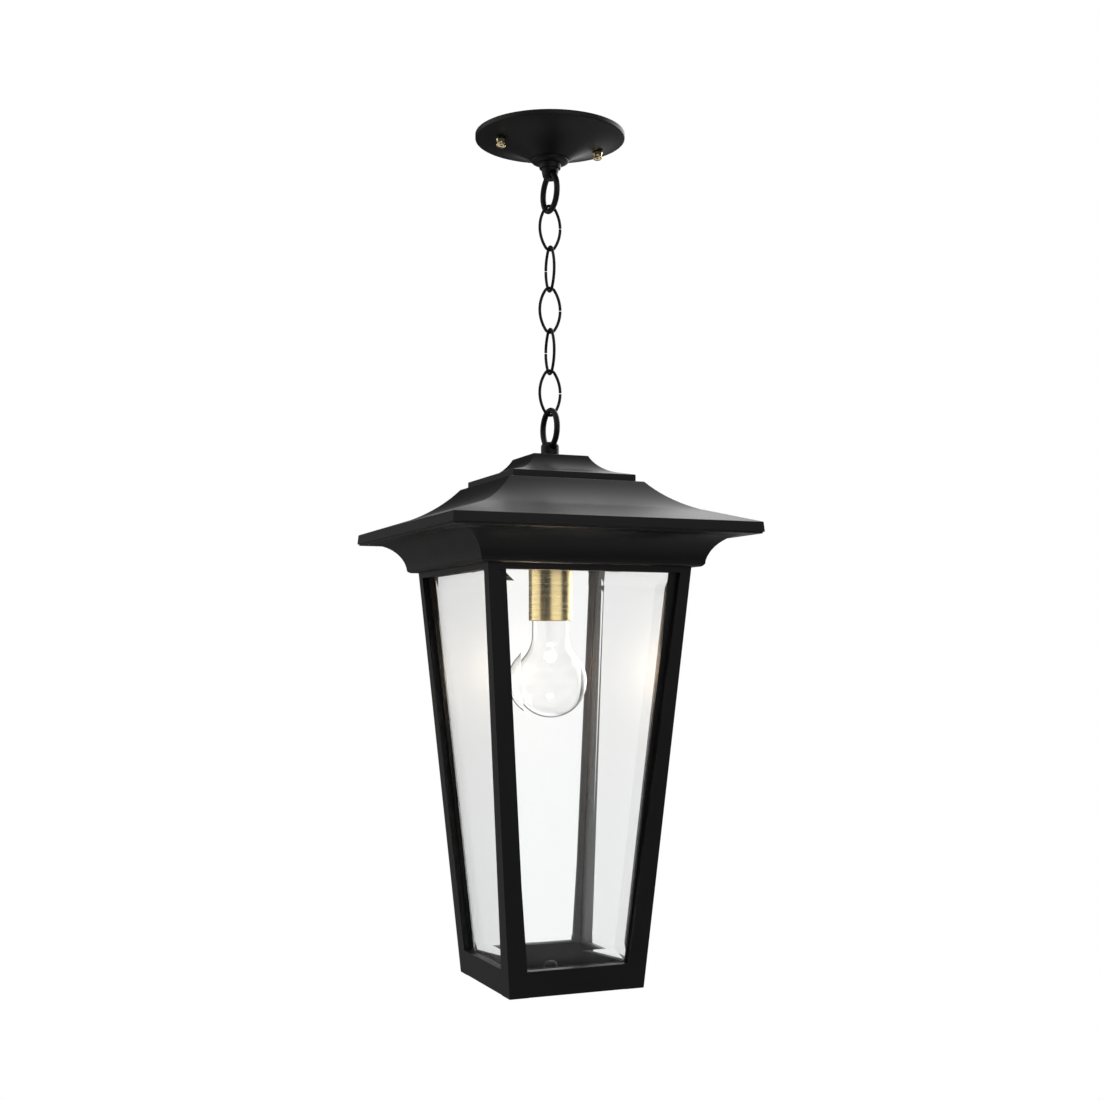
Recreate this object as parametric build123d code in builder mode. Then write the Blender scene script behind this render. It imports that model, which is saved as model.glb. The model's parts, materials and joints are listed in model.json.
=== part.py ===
from build123d import *
from math import atan2, cos, degrees, hypot, radians, sin
import os

# Hanging lantern: ceiling canopy, two rings and five oval links, and a tapered glazed cage
# under a two-tier roof. Millimetres, +Z up, origin on the ceiling at the middle of the canopy.
# X runs along the line of the two canopy nuts, and the front faces -Y.

# Clearances
running_fit = 0.08
screw_fit = 0.05
link_gap = 0.25
seat_gap = 0.3
glass_gap = 0.3

# Canopy and what fixes it to the ceiling box
canopy_diameter = 127.0
canopy_rim = 3.6
canopy_depth = 21.2
canopy_wall = 1.2
canopy_bow = 3.3
canopy_edge = 0.8
nut_spacing = 88.9
strap_length = 104.0
strap_width = 20.0
strap_thickness = 2.5
box_slot_spacing = 69.85
box_slot_length = 8.0
box_slot_width = 4.8
stud_diameter = 4.1
nut_diameter = 8.3
nut_flange = 3.6
nut_neck = 0.6
nut_neck_diameter = 6.4
nut_dome = 2.8
nut_crown = 2.1
knurl_count = 18
knurl_radius = 0.35
seat_margin = 0.35
ground_screw_offset = 18.0
ground_head_diameter = 7.0
ground_head_height = 1.8
ground_slot_width = 1.0

# Collar and loop on the canopy
collar_diameter = 31.7
collar_height = 4.0
collar_shoulder = 1.6
collar_step_diameter = 19.0
collar_step = 4.2
collar_step_taper = 0.5
stem_diameter = 9.6
wire_bore = 4.4
nose_top_diameter = 15.2
nose_tip_diameter = 9.2
nose_taper = 1.05
nose_bow = 0.3
eye_roof = 2.2
eye_slack = 0.5
eye_floor = 1.5
ring_swing = 20.0
lock_nut_size = 14.0
lock_nut_height = 4.0
washer_diameter = 18.0
washer_thickness = 1.2
thread_proud = 2.5

# Rings and chain links
ring_diameter = 35.6
ring_wire = 5.0
link_length = 40.5
link_width = 21.05
link_wire = 2.5
link_end_radius = 5.0
link_slit = 0.6
link_count = 5

# Roof loop, threaded tube and roof tiers
roof_loop_diameter = 15.2
roof_loop_height = 9.2
tube_bore = 6.4
tube_in_loop = 4.0
roof_wall = 2.0
plate_half = 24.35
upper_half = 53.8
upper_shelf_half = 41.5
upper_curve_drop = 14.8
upper_curve_bow = 2.4
upper_shelf_drop = 2.8
upper_fascia = 6.0
ledge_half = 59.0
lower_half = 130.0
lower_curve_half = 93.0
lower_curve_drop = 24.5
lower_curve_bow = 2.55
lower_apron_drop = 11.7
lower_fascia = 8.1
fascia_draft = 0.7

# Cove under the eave
cove_flange = 1.2
cove_flange_inset = 1.4
cove_top_half = 117.0
cove_foot_half = 95.3
cove_drop = 21.6
cove_bow = 4.8
cove_lip = 3.6
cove_wall = 2.2
cove_opening_margin = 9.6

# Tapered cage
frame_top_half = 87.1
frame_base_half = 57.45
frame_height = 335.5
top_rail_height = 4.7
bottom_rail_height = 20.2
face_thickness = 5.0
flange_thickness = 3.0
flange_margin = 16.4
reveal_top = 6.8
reveal_base = 0.2
top_ledge_depth = 14.0
top_ledge_thickness = 1.5
top_ledge_end = 4.0
sill_ledge_depth = 6.0
sill_ledge_thickness = 2.0
sill_skirt = 1.4
lip_depth = 12.0
lip_thickness = 2.0
base_plate_thickness = 2.0
base_screw_edge = 3.0
base_stud_diameter = 10.8
base_stud_foot_diameter = 13.4
base_stud_height = 17.4
frame_screw_offset = 40.0
frame_screw_inset = 17.5
screw_diameter = 3.0
screw_head_diameter = 5.2
screw_head_height = 1.4
frame_screw_length = 6.5

# Glass panes and their clips
glass_thickness = 4.0
glass_edge_thickness = 2.3
glass_bevel = 13.5
glass_overlap = 3.5
glass_tuck_top = 2.8
glass_tuck_base = 1.4
clip_offset = 24.0
clip_width = 10.0
clip_thickness = 0.8
clip_height = 3.4
clip_foot = 5.6
clip_screw_diameter = 2.0
clip_screw_head = 3.4
clip_screw_head_height = 1.0

# Lamp carrier and lampholder
bridge_width = 22.0
bridge_thickness = 2.5
bridge_rise = 19.5
bridge_top_half = 34.0
bridge_clearance = 8.0
bridge_foot_bearing = 6.0
sleeve_diameter = 36.4
sleeve_wall = 0.8
sleeve_length = 57.5
nut_height = 4.5
holder_gap = 0.6
holder_cap_height = 8.0
holder_cap_round = 2.6
holder_recess = 3.8
shell_wall = 0.5
shell_lip = 1.0

# Lamp
lamp_diameter = 60.0
lamp_length = 110.0
lamp_neck_diameter = 30.8
lamp_blend_angle = 42.0
lamp_glass = 0.8
lamp_below_sleeve = 80.0
lamp_neck_taper = 3.4
base_diameter = 26.0
base_length = 26.4
base_skirt = 4.0
base_thread_pitch = 3.629
base_thread_depth = 0.9
base_thread_turns = 4
base_wall = 0.4
contact_diameter = 9.6
contact_height = 1.4
shell_clearance = 0.45
plunger_diameter = 9.0
plunger_disc = 1.0
plunger_stem_diameter = 3.6
plunger_stem = 6.0
plunger_travel = 2.6
stem_tube_diameter = 8.0
stem_pinch_length = 8.0
stem_pinch_diameter = 4.8
stem_flare_rim = 0.8
stem_flare_height = 11.0
lead_spacing = 2.4
filament_height = 50.3
filament_span = 13.0
filament_rise = 2.4
filament_wire = 0.7
lead_wire = 0.6

# Places worked out from the sizes above
canopy_radius = canopy_diameter / 2
nut_x = nut_spacing / 2
nut_radius = nut_diameter / 2
stud_radius = stud_diameter / 2
stem_radius = stem_diameter / 2
tube_radius = stem_radius
ring_wire_radius = ring_wire / 2
ring_radius = (ring_diameter - ring_wire) / 2
link_wire_radius = link_wire / 2
link_half_length = (link_length - link_wire) / 2
link_half_width = (link_width - link_wire) / 2
eye_radius = ring_wire_radius + link_gap
eye_relief = ring_wire_radius + eye_slack

collar_top = -canopy_depth
collar_foot = collar_top - collar_height
nose_top = collar_foot - collar_step
canopy_eye = nose_top - eye_roof - eye_relief
nose_tip = canopy_eye - eye_radius - eye_floor
top_ring_center = canopy_eye - ring_radius
ring_to_link = ring_wire_radius + link_gap + link_wire_radius
first_crest = canopy_eye - 2 * ring_radius + ring_to_link
link_pitch = 2 * link_half_length - link_wire - link_gap
crests = [first_crest - link_pitch * i for i in range(link_count)]
bottom_crest = crests[-1] - 2 * link_half_length + ring_to_link
bottom_ring_center = bottom_crest - ring_radius
roof_eye = bottom_crest - 2 * ring_radius
roof_loop_tip = roof_eye + eye_radius + eye_floor

plate_top = roof_eye - roof_loop_height
upper_curve_foot = plate_top - upper_curve_drop
upper_shelf_foot = upper_curve_foot - upper_shelf_drop
ledge_top = upper_shelf_foot - upper_fascia
lower_curve_foot = ledge_top - lower_curve_drop
lower_apron_foot = lower_curve_foot - lower_apron_drop
eave_foot = lower_apron_foot - lower_fascia
cove_top = eave_foot
cove_start = cove_top - cove_flange
cove_end = cove_start - cove_drop
frame_top = cove_end - cove_lip
frame_base = frame_top - frame_height
opening_top = frame_top - top_rail_height
sill = frame_base + bottom_rail_height
frame_slope = (frame_top_half - frame_base_half) / frame_height
lean = degrees(atan2(frame_slope, 1))


def frame_half(z):
    """Half width of the cage's outside at a height."""
    return frame_base_half + frame_slope * (z - frame_base)


def face_margin(z):
    """Width of the raised face of a corner post at a height."""
    share = (z - frame_base) / frame_height
    return flange_margin - reveal_base - (reveal_top - reveal_base) * share


frame_screw_half = frame_top_half - frame_screw_inset
cove_opening_half = frame_screw_half - cove_opening_margin
rail_depth = face_thickness + flange_thickness
pane_depth = rail_depth + glass_gap / 2
pane_top = opening_top + glass_tuck_top
pane_base = sill - glass_tuck_base
pane_back = pane_depth + glass_thickness / cos(radians(lean))
pane_margin = flange_margin - glass_overlap
top_ledge_foot = frame_top - top_ledge_thickness
sill_ledge_top = pane_base - glass_gap
lip_foot = frame_base + base_plate_thickness

bridge_foot_top = top_ledge_foot
bridge_top = bridge_foot_top + bridge_rise
bridge_under = bridge_top - bridge_thickness
bridge_foot_inner = cove_opening_half - bridge_clearance
sleeve_top = bridge_under
sleeve_foot = sleeve_top - sleeve_length
sleeve_radius = sleeve_diameter / 2
sleeve_bore = sleeve_radius - sleeve_wall
washer_top = sleeve_top - sleeve_wall
bridge_nut_top = washer_top - washer_thickness
holder_cap_top = bridge_nut_top - nut_height - holder_gap
holder_top = holder_cap_top - holder_cap_height
holder_foot = sleeve_foot + holder_recess
holder_radius = sleeve_bore - seat_gap

lamp_radius = lamp_diameter / 2
lamp_neck = lamp_neck_diameter / 2
lamp_tip = sleeve_foot - lamp_below_sleeve
lamp_center = lamp_tip + lamp_radius
contact_top = lamp_tip + lamp_length
base_radius = base_diameter / 2
base_rim = contact_top - base_length
shell_radius = base_radius + shell_clearance
plunger_top = contact_top + plunger_disc
tube_foot = holder_cap_top - holder_cap_height / 2
tube_top = plate_top + tube_in_loop

sides = {"front": 0, "right": 90, "back": 180, "left": 270}
corners = {"front_left": 0, "front_right": 90, "back_right": 180, "back_left": 270}


def level(z, turn=0.0):
    """Horizontal plane at a height, turned about the middle axis."""
    heading = (cos(radians(turn)), sin(radians(turn)), 0)
    return Plane(origin=(0, 0, z), x_dir=heading, z_dir=(0, 0, 1))


def save(piece, name):
    """Label a finished piece and write it as its own file."""
    piece.label = name
    export_step(piece, f"parts/{name}.step")


os.makedirs("parts", exist_ok=True)


# Canopy: a spun dish with a short rim, a bowed cone, a flat middle and two flat nut seats
canopy_flat = collar_diameter / 2 + canopy_edge
canopy_shoulder = canopy_radius - canopy_edge
bow_x = (canopy_shoulder + canopy_flat) / 2
bow_z = -(canopy_rim + canopy_edge + canopy_depth) / 2 + canopy_bow
chord_run = canopy_shoulder - canopy_flat
chord_drop = canopy_depth - canopy_rim - canopy_edge
seat_radius = nut_radius + seat_margin
seat_inner_x = nut_x - seat_radius
seat_share = (canopy_shoulder - seat_inner_x) / chord_run
seat_bow = 4 * canopy_bow * seat_share * (1 - seat_share)
nut_seat = -canopy_rim - canopy_edge - chord_drop * seat_share + seat_bow
seat_height = canopy_wall + 2 * seat_radius * chord_drop / chord_run

with BuildPart() as canopy:
    with BuildSketch(Plane.XZ):
        with BuildLine():
            Line((canopy_radius, 0), (canopy_radius, -canopy_rim))
            RadiusArc((canopy_radius, -canopy_rim), (canopy_shoulder, -canopy_rim - canopy_edge),
                      canopy_edge)
            ThreePointArc((canopy_shoulder, -canopy_rim - canopy_edge), (bow_x, bow_z),
                          (canopy_flat, -canopy_depth))
            Line((canopy_flat, -canopy_depth), (stem_radius + screw_fit, -canopy_depth))
            Line((stem_radius + screw_fit, -canopy_depth),
                 (stem_radius + screw_fit, canopy_wall - canopy_depth))
            Line((stem_radius + screw_fit, canopy_wall - canopy_depth),
                 (canopy_flat, canopy_wall - canopy_depth))
            ThreePointArc((canopy_flat, canopy_wall - canopy_depth), (bow_x, bow_z + canopy_wall),
                          (canopy_radius - canopy_wall, canopy_wall - canopy_rim - canopy_edge))
            Line((canopy_radius - canopy_wall, canopy_wall - canopy_rim - canopy_edge),
                 (canopy_radius - canopy_wall, 0))
            Line((canopy_radius - canopy_wall, 0), (canopy_radius, 0))
        make_face()
    revolve(axis=Axis.Z)
    with BuildSketch(level(nut_seat)):
        with Locations((nut_x, 0), (-nut_x, 0)):
            Circle(seat_radius)
    extrude(amount=seat_height)
    with BuildSketch(level(nut_seat)):
        with Locations((nut_x, 0), (-nut_x, 0)):
            Circle(stud_radius + seat_gap)
    extrude(amount=canopy_depth, mode=Mode.SUBTRACT)
save(canopy.part, "canopy")

# Mounting strap with two slots for the box screws and tapped holes for the studs
with BuildPart() as mounting_strap:
    with BuildSketch(level(0)):
        SlotOverall(strap_length, strap_width)
        with Locations((box_slot_spacing / 2, 0), (-box_slot_spacing / 2, 0)):
            SlotOverall(box_slot_length, box_slot_width, mode=Mode.SUBTRACT)
        with Locations((nut_x, 0), (-nut_x, 0)):
            Circle(stud_radius + screw_fit, mode=Mode.SUBTRACT)
        with Locations((ground_screw_offset, 0)):
            Circle(stud_radius + screw_fit, mode=Mode.SUBTRACT)
        Circle(stem_radius + screw_fit, mode=Mode.SUBTRACT)
    extrude(amount=-strap_thickness)
save(mounting_strap.part, "mounting_strap")

strap_foot = -strap_thickness
stud_tip = nut_seat - nut_flange - nut_neck - nut_dome / 2
with BuildPart() as canopy_studs:
    with BuildSketch(level(0)):
        with Locations((nut_x, 0), (-nut_x, 0)):
            Circle(stud_radius)
    extrude(amount=stud_tip)
save(canopy_studs.part, "canopy_studs")

with BuildPart() as ground_screw:
    with BuildSketch(level(0)):
        with Locations((ground_screw_offset, 0)):
            Circle(stud_radius)
    extrude(amount=-strap_thickness)
    with BuildSketch(level(strap_foot)):
        with Locations((ground_screw_offset, 0)):
            Circle(ground_head_diameter / 2)
            Rectangle(ground_head_diameter, ground_slot_width, mode=Mode.SUBTRACT)
    extrude(amount=-ground_head_height)
    with BuildSketch(level(strap_foot)):
        with Locations((ground_screw_offset, 0)):
            Circle(ground_head_diameter / 2)
    extrude(amount=-ground_head_height / 2)
save(ground_screw.part, "ground_screw")

# Knurled cap nuts that hold the canopy up on its studs
neck_top = nut_seat - nut_flange
dome_top = neck_top - nut_neck
dome_foot = dome_top - nut_dome
bore_end = stud_tip - seat_gap
for side, nut_place in {"left": -nut_x, "right": nut_x}.items():
    nut_face = Plane(origin=(nut_place, 0, nut_seat))
    nut_profile = Plane(origin=(nut_place, 0, 0), x_dir=(1, 0, 0), z_dir=(0, -1, 0))
    with BuildPart() as cap_nut:
        with BuildSketch(nut_profile):
            with BuildLine():
                Line((0, nut_seat), (nut_radius, nut_seat))
                Line((nut_radius, nut_seat), (nut_radius, neck_top))
                Line((nut_radius, neck_top), (nut_neck_diameter / 2, neck_top))
                Line((nut_neck_diameter / 2, neck_top), (nut_neck_diameter / 2, dome_top))
                Line((nut_neck_diameter / 2, dome_top), (nut_radius, dome_top))
                Line((nut_radius, dome_top), (nut_radius, dome_foot + nut_crown))
                EllipticalCenterArc((0, dome_foot + nut_crown), nut_radius, nut_crown, 270, arc_size=90)
                Line((0, dome_foot), (0, nut_seat))
            make_face()
        revolve(axis=Axis((nut_place, 0, 0), (0, 0, 1)))
        with BuildSketch(nut_face):
            Circle(stud_radius + running_fit)
        extrude(amount=bore_end - nut_seat, mode=Mode.SUBTRACT)
        with BuildSketch(nut_face):
            with PolarLocations(nut_radius, knurl_count):
                Circle(knurl_radius)
        extrude(amount=-nut_flange, mode=Mode.SUBTRACT)
    save(cap_nut.part, f"cap_nut_{side}")

# Turned collar under the canopy
collar_radius = collar_diameter / 2
step_radius = collar_step_diameter / 2
with BuildPart() as screw_collar:
    with BuildSketch(Plane.XZ):
        with BuildLine():
            Line((stem_radius + screw_fit, collar_top), (collar_radius, collar_top))
            Line((collar_radius, collar_top), (collar_radius, collar_top - collar_shoulder))
            EllipticalCenterArc((step_radius, collar_top - collar_shoulder), collar_radius - step_radius,
                                collar_height - collar_shoulder, 270, arc_size=90)
            Line((step_radius, collar_foot), (step_radius - collar_step_taper, nose_top))
            Line((step_radius - collar_step_taper, nose_top), (stem_radius + screw_fit, nose_top))
            Line((stem_radius + screw_fit, nose_top), (stem_radius + screw_fit, collar_top))
        make_face()
    revolve(axis=Axis.Z)
save(screw_collar.part, "screw_collar")


def eye_cutter(center, way):
    """Cut for a ring's wire along Y: a straight bore, and the ring's own curve at the ends and the
    middle of its swing. The ring's middle lies towards way (+1 up, -1 down)."""
    reach = max(nose_top_diameter, roof_loop_diameter) / 2 + link_gap
    with BuildPart() as cutter:
        with BuildSketch(Plane(origin=(0, -reach, center), x_dir=(1, 0, 0), z_dir=(0, 1, 0))):
            Circle(eye_relief)
        extrude(amount=2 * reach)
        for share in (-1, -0.5, 0, 0.5, 1):
            aside = radians(share * ring_swing)
            middle = (way * ring_radius * sin(aside), 0, center + way * ring_radius * cos(aside))
            with Locations(Plane(origin=middle, x_dir=(0, 1, 0), z_dir=(cos(aside), 0, -sin(aside)))):
                Torus(ring_radius, eye_radius)
    return cutter.part


# Loop on the canopy: stem through the canopy, tapered nose with the upper ring's eye
stem_top = canopy_wall - canopy_depth + washer_thickness + lock_nut_height + thread_proud
nose_radius = nose_top_diameter / 2
tip_radius = nose_tip_diameter / 2
canopy_eye_cut = eye_cutter(canopy_eye, -1)
with BuildPart() as canopy_loop:
    with BuildSketch(Plane.XZ):
        with BuildLine():
            Line((0, stem_top), (stem_radius, stem_top))
            Line((stem_radius, stem_top), (stem_radius, nose_top))
            Line((stem_radius, nose_top), (nose_radius, nose_top))
            Line((nose_radius, nose_top), (nose_radius - nose_taper, canopy_eye))
            SagittaArc((nose_radius - nose_taper, canopy_eye), (tip_radius, nose_tip), nose_bow)
            Line((tip_radius, nose_tip), (0, nose_tip))
            Line((0, nose_tip), (0, stem_top))
        make_face()
    revolve(axis=Axis.Z)
    add(canopy_eye_cut, mode=Mode.SUBTRACT)
    with BuildSketch(level(canopy_eye)):
        Circle(wire_bore / 2)
    extrude(amount=stem_top - canopy_eye, mode=Mode.SUBTRACT)
save(canopy_loop.part, "canopy_loop")

canopy_inside = canopy_wall - canopy_depth
with BuildPart() as canopy_washer:
    with BuildSketch(level(canopy_inside)):
        Circle(washer_diameter / 2)
        Circle(stem_radius + screw_fit, mode=Mode.SUBTRACT)
    extrude(amount=washer_thickness)
save(canopy_washer.part, "canopy_washer")

with BuildPart() as canopy_lock_nut:
    with BuildSketch(level(canopy_inside + washer_thickness)):
        RegularPolygon(lock_nut_size / 2, 6, major_radius=False)
        Circle(stem_radius + screw_fit, mode=Mode.SUBTRACT)
    extrude(amount=lock_nut_height)
save(canopy_lock_nut.part, "canopy_lock_nut")

# Rings at both ends of the chain, standing in the YZ plane
for ring_name, ring_center in {"top_ring": top_ring_center, "bottom_ring": bottom_ring_center}.items():
    with BuildPart(Plane(origin=(0, 0, ring_center), z_dir=(1, 0, 0))) as ring:
        Torus(ring_radius, ring_wire_radius)
    save(ring.part, ring_name)

# Oval chain links: bent wire on four tangent arcs, with the slit of the bend on one side
end_shift = link_half_length - link_end_radius
side_radius = (link_half_width ** 2 + end_shift ** 2 - link_end_radius ** 2) / (
    2 * (link_half_width - link_end_radius))
side_shift = side_radius - link_half_width
side_angle = degrees(atan2(end_shift, side_shift))
slit_angle = degrees(link_slit / 2 / side_radius)
for index, crest in enumerate(crests):
    link_center = crest - link_half_length
    across_x = index % 2 == 0
    heading = (1, 0, 0) if across_x else (0, 1, 0)
    normal = (0, -1, 0) if across_x else (1, 0, 0)
    link_plane = Plane(origin=(0, 0, link_center), x_dir=heading, z_dir=normal)
    with BuildPart() as link:
        with BuildLine(link_plane) as bend:
            CenterArc((-side_shift, 0), side_radius, slit_angle, side_angle - slit_angle)
            CenterArc((0, end_shift), link_end_radius, side_angle, 180 - 2 * side_angle)
            CenterArc((side_shift, 0), side_radius, 180 - side_angle, 2 * side_angle)
            CenterArc((0, -end_shift), link_end_radius, 180 + side_angle, 180 - 2 * side_angle)
            CenterArc((-side_shift, 0), side_radius, -side_angle, side_angle - slit_angle)
        wire_path = bend.wire()
        with BuildSketch(Plane(origin=wire_path @ 0, z_dir=wire_path % 0)):
            Circle(link_wire_radius)
        sweep(path=wire_path)
    save(link.part, f"chain_link_{index + 1}")

# Loop on the roof, screwed on the threaded tube
loop_radius = roof_loop_diameter / 2
roof_eye_cut = eye_cutter(roof_eye, 1)
with BuildPart() as roof_loop:
    with BuildSketch(Plane.XZ):
        with BuildLine():
            Line((0, plate_top), (loop_radius, plate_top))
            Line((loop_radius, plate_top), (loop_radius, roof_eye))
            EllipticalCenterArc((0, roof_eye), loop_radius, roof_loop_tip - roof_eye, 0, arc_size=90)
            Line((0, roof_loop_tip), (0, plate_top))
        make_face()
    revolve(axis=Axis.Z)
    add(roof_eye_cut, mode=Mode.SUBTRACT)
    with BuildSketch(level(plate_top)):
        Circle(tube_radius + screw_fit)
    extrude(amount=tube_in_loop, mode=Mode.SUBTRACT)
    with BuildSketch(level(plate_top)):
        Circle(wire_bore / 2)
    extrude(amount=roof_eye - plate_top, mode=Mode.SUBTRACT)
save(roof_loop.part, "roof_loop")

with BuildPart() as threaded_tube:
    with BuildSketch(level(tube_foot)):
        Circle(tube_radius)
        Circle(tube_bore / 2, mode=Mode.SUBTRACT)
    extrude(amount=tube_top - tube_foot)
save(threaded_tube.part, "threaded_tube")


def square_body(outline):
    """Solid with square plan sections and mitred hips, from a half outline in half width and z."""
    reach = 2 * lower_half
    with BuildPart() as body:
        with BuildSketch(Plane.XZ):
            with BuildLine():
                outline()
            make_face()
            mirror(about=Plane.YZ)
        extrude(amount=reach, both=True)
        with BuildSketch(Plane.YZ):
            with BuildLine():
                outline()
            make_face()
            mirror(about=Plane.YZ)
        extrude(amount=reach, both=True, mode=Mode.INTERSECT)
    return body.part


def upper_outline(shift, foot):
    """Half outline of the upper roof tier, moved in and down by shift, and closed at foot."""
    top = plate_top - shift
    Line((0, top), (plate_half - shift, top))
    SagittaArc((plate_half - shift, top), (upper_shelf_half - shift, upper_curve_foot - shift),
               -upper_curve_bow)
    Line((upper_shelf_half - shift, upper_curve_foot - shift),
         (upper_half - shift, upper_shelf_foot - shift))
    Line((upper_half - shift, upper_shelf_foot - shift), (upper_half - shift, foot))
    Line((upper_half - shift, foot), (0, foot))
    Line((0, foot), (0, top))


def lower_outline(shift, foot):
    """Half outline of the lower roof tier, moved in and down by shift, and closed at foot."""
    top = ledge_top - shift
    eave_half = lower_half - fascia_draft
    Line((0, top), (ledge_half - shift, top))
    SagittaArc((ledge_half - shift, top), (lower_curve_half - shift, lower_curve_foot - shift),
               -lower_curve_bow)
    Line((lower_curve_half - shift, lower_curve_foot - shift),
         (eave_half - shift, lower_apron_foot - shift))
    Line((eave_half - shift, lower_apron_foot - shift), (lower_half - shift, foot))
    Line((lower_half - shift, foot), (0, foot))
    Line((0, foot), (0, top))


# Roof: two cast shells, open below, stacked on the threaded tube
roof_tiers = {
    "roof_upper_tier": (upper_outline, plate_top, ledge_top),
    "roof_lower_tier": (lower_outline, ledge_top, eave_foot),
}
for tier_name, (tier_outline, tier_top, tier_foot) in roof_tiers.items():
    tier_skin = square_body(lambda: tier_outline(0, tier_foot))
    tier_hollow = square_body(lambda: tier_outline(roof_wall, tier_foot - roof_wall))
    with BuildPart() as tier:
        add(tier_skin)
        add(tier_hollow, mode=Mode.SUBTRACT)
        with BuildSketch(level(tier_top)):
            Circle(tube_radius + screw_fit)
        extrude(amount=-2 * roof_wall, mode=Mode.SUBTRACT)
    save(tier.part, tier_name)


def cove_curve(shift):
    """Hollow curve of the cove, moved in and up by shift."""
    start = (cove_top_half - shift, cove_start + shift)
    end = (cove_foot_half - shift, cove_end + shift)
    return SagittaArc(start, end, -cove_bow)


def cove_skin():
    """Half outline of the cove's outside, from its flange to its rounded lip."""
    flange_half = lower_half - cove_flange_inset
    Line((0, cove_top), (flange_half, cove_top))
    Line((flange_half, cove_top), (flange_half, cove_start))
    Line((flange_half, cove_start), (cove_top_half, cove_start))
    cove_curve(0)
    RadiusArc((cove_foot_half, cove_end), (cove_foot_half - cove_lip, frame_top), cove_lip)
    Line((cove_foot_half - cove_lip, frame_top), (0, frame_top))
    Line((0, frame_top), (0, cove_top))


def cove_hollow():
    """Half outline of the space inside the cove, above its bottom flange."""
    inside_top = cove_top + cove_wall
    inside_foot = frame_top + cove_wall
    mouth_half = cove_top_half - cove_wall
    neck_half = cove_foot_half - cove_wall
    Line((0, inside_top), (mouth_half, inside_top))
    Line((mouth_half, inside_top), (mouth_half, cove_start + cove_wall))
    cove_curve(cove_wall)
    Line((neck_half, cove_end + cove_wall), (neck_half, inside_foot))
    Line((neck_half, inside_foot), (0, inside_foot))
    Line((0, inside_foot), (0, inside_top))


cove_outside = square_body(cove_skin)
cove_inside = square_body(cove_hollow)
frame_screw_spots = [(-frame_screw_offset, -frame_screw_half), (frame_screw_offset, -frame_screw_half)]
with BuildPart() as cove_moulding:
    add(cove_outside)
    add(cove_inside, mode=Mode.SUBTRACT)
    with BuildSketch(level(frame_top)):
        Rectangle(2 * cove_opening_half, 2 * cove_opening_half)
    extrude(amount=cove_wall * 2, mode=Mode.SUBTRACT)
    for turn in sides.values():
        with BuildSketch(level(frame_top, turn)):
            with Locations(*frame_screw_spots):
                Circle(screw_diameter / 2 + screw_fit)
        extrude(amount=cove_wall * 2, mode=Mode.SUBTRACT)
save(cove_moulding.part, "cove_moulding")


def post_section(z):
    """Corner angle of a post at a height, as seen from above at the front left corner."""
    half = frame_half(z)
    margin = face_margin(z)
    steps = [(0, 0), (margin, 0), (margin, face_thickness), (flange_margin, face_thickness),
             (flange_margin, rail_depth), (rail_depth, rail_depth), (rail_depth, flange_margin),
             (face_thickness, flange_margin), (face_thickness, margin), (0, margin)]
    return [(across - half, inward - half) for across, inward in steps]


# Corner posts: stepped angles that taper with the cage
for corner, turn in corners.items():
    with BuildPart() as post:
        for z in (frame_base, frame_top):
            with BuildSketch(level(z, turn)):
                with BuildLine():
                    Polyline(*post_section(z), close=True)
                make_face()
        loft(ruled=True)
    save(post.part, f"corner_post_{corner}")


def rail_section(z):
    """Section of a rail between two posts at a height, for the front of the cage."""
    half = frame_half(z)
    face_end = half - face_margin(z)
    flange_end = half - flange_margin
    right = [(face_end, -half), (face_end, face_thickness - half), (flange_end, face_thickness - half),
             (flange_end, rail_depth - half)]
    left = [(-x, y) for x, y in reversed(right)]
    return right + left


clip_screw_radius = clip_screw_diameter / 2
clip_screw_inset = pane_back + glass_gap + clip_thickness + clip_foot / 2
sill_half = frame_half(sill_ledge_top)
top_clip_half = frame_half(top_ledge_foot - clip_height)
lip_half = frame_half(lip_foot)
lip_screw_inset = rail_depth + lip_depth - base_screw_edge

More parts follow.
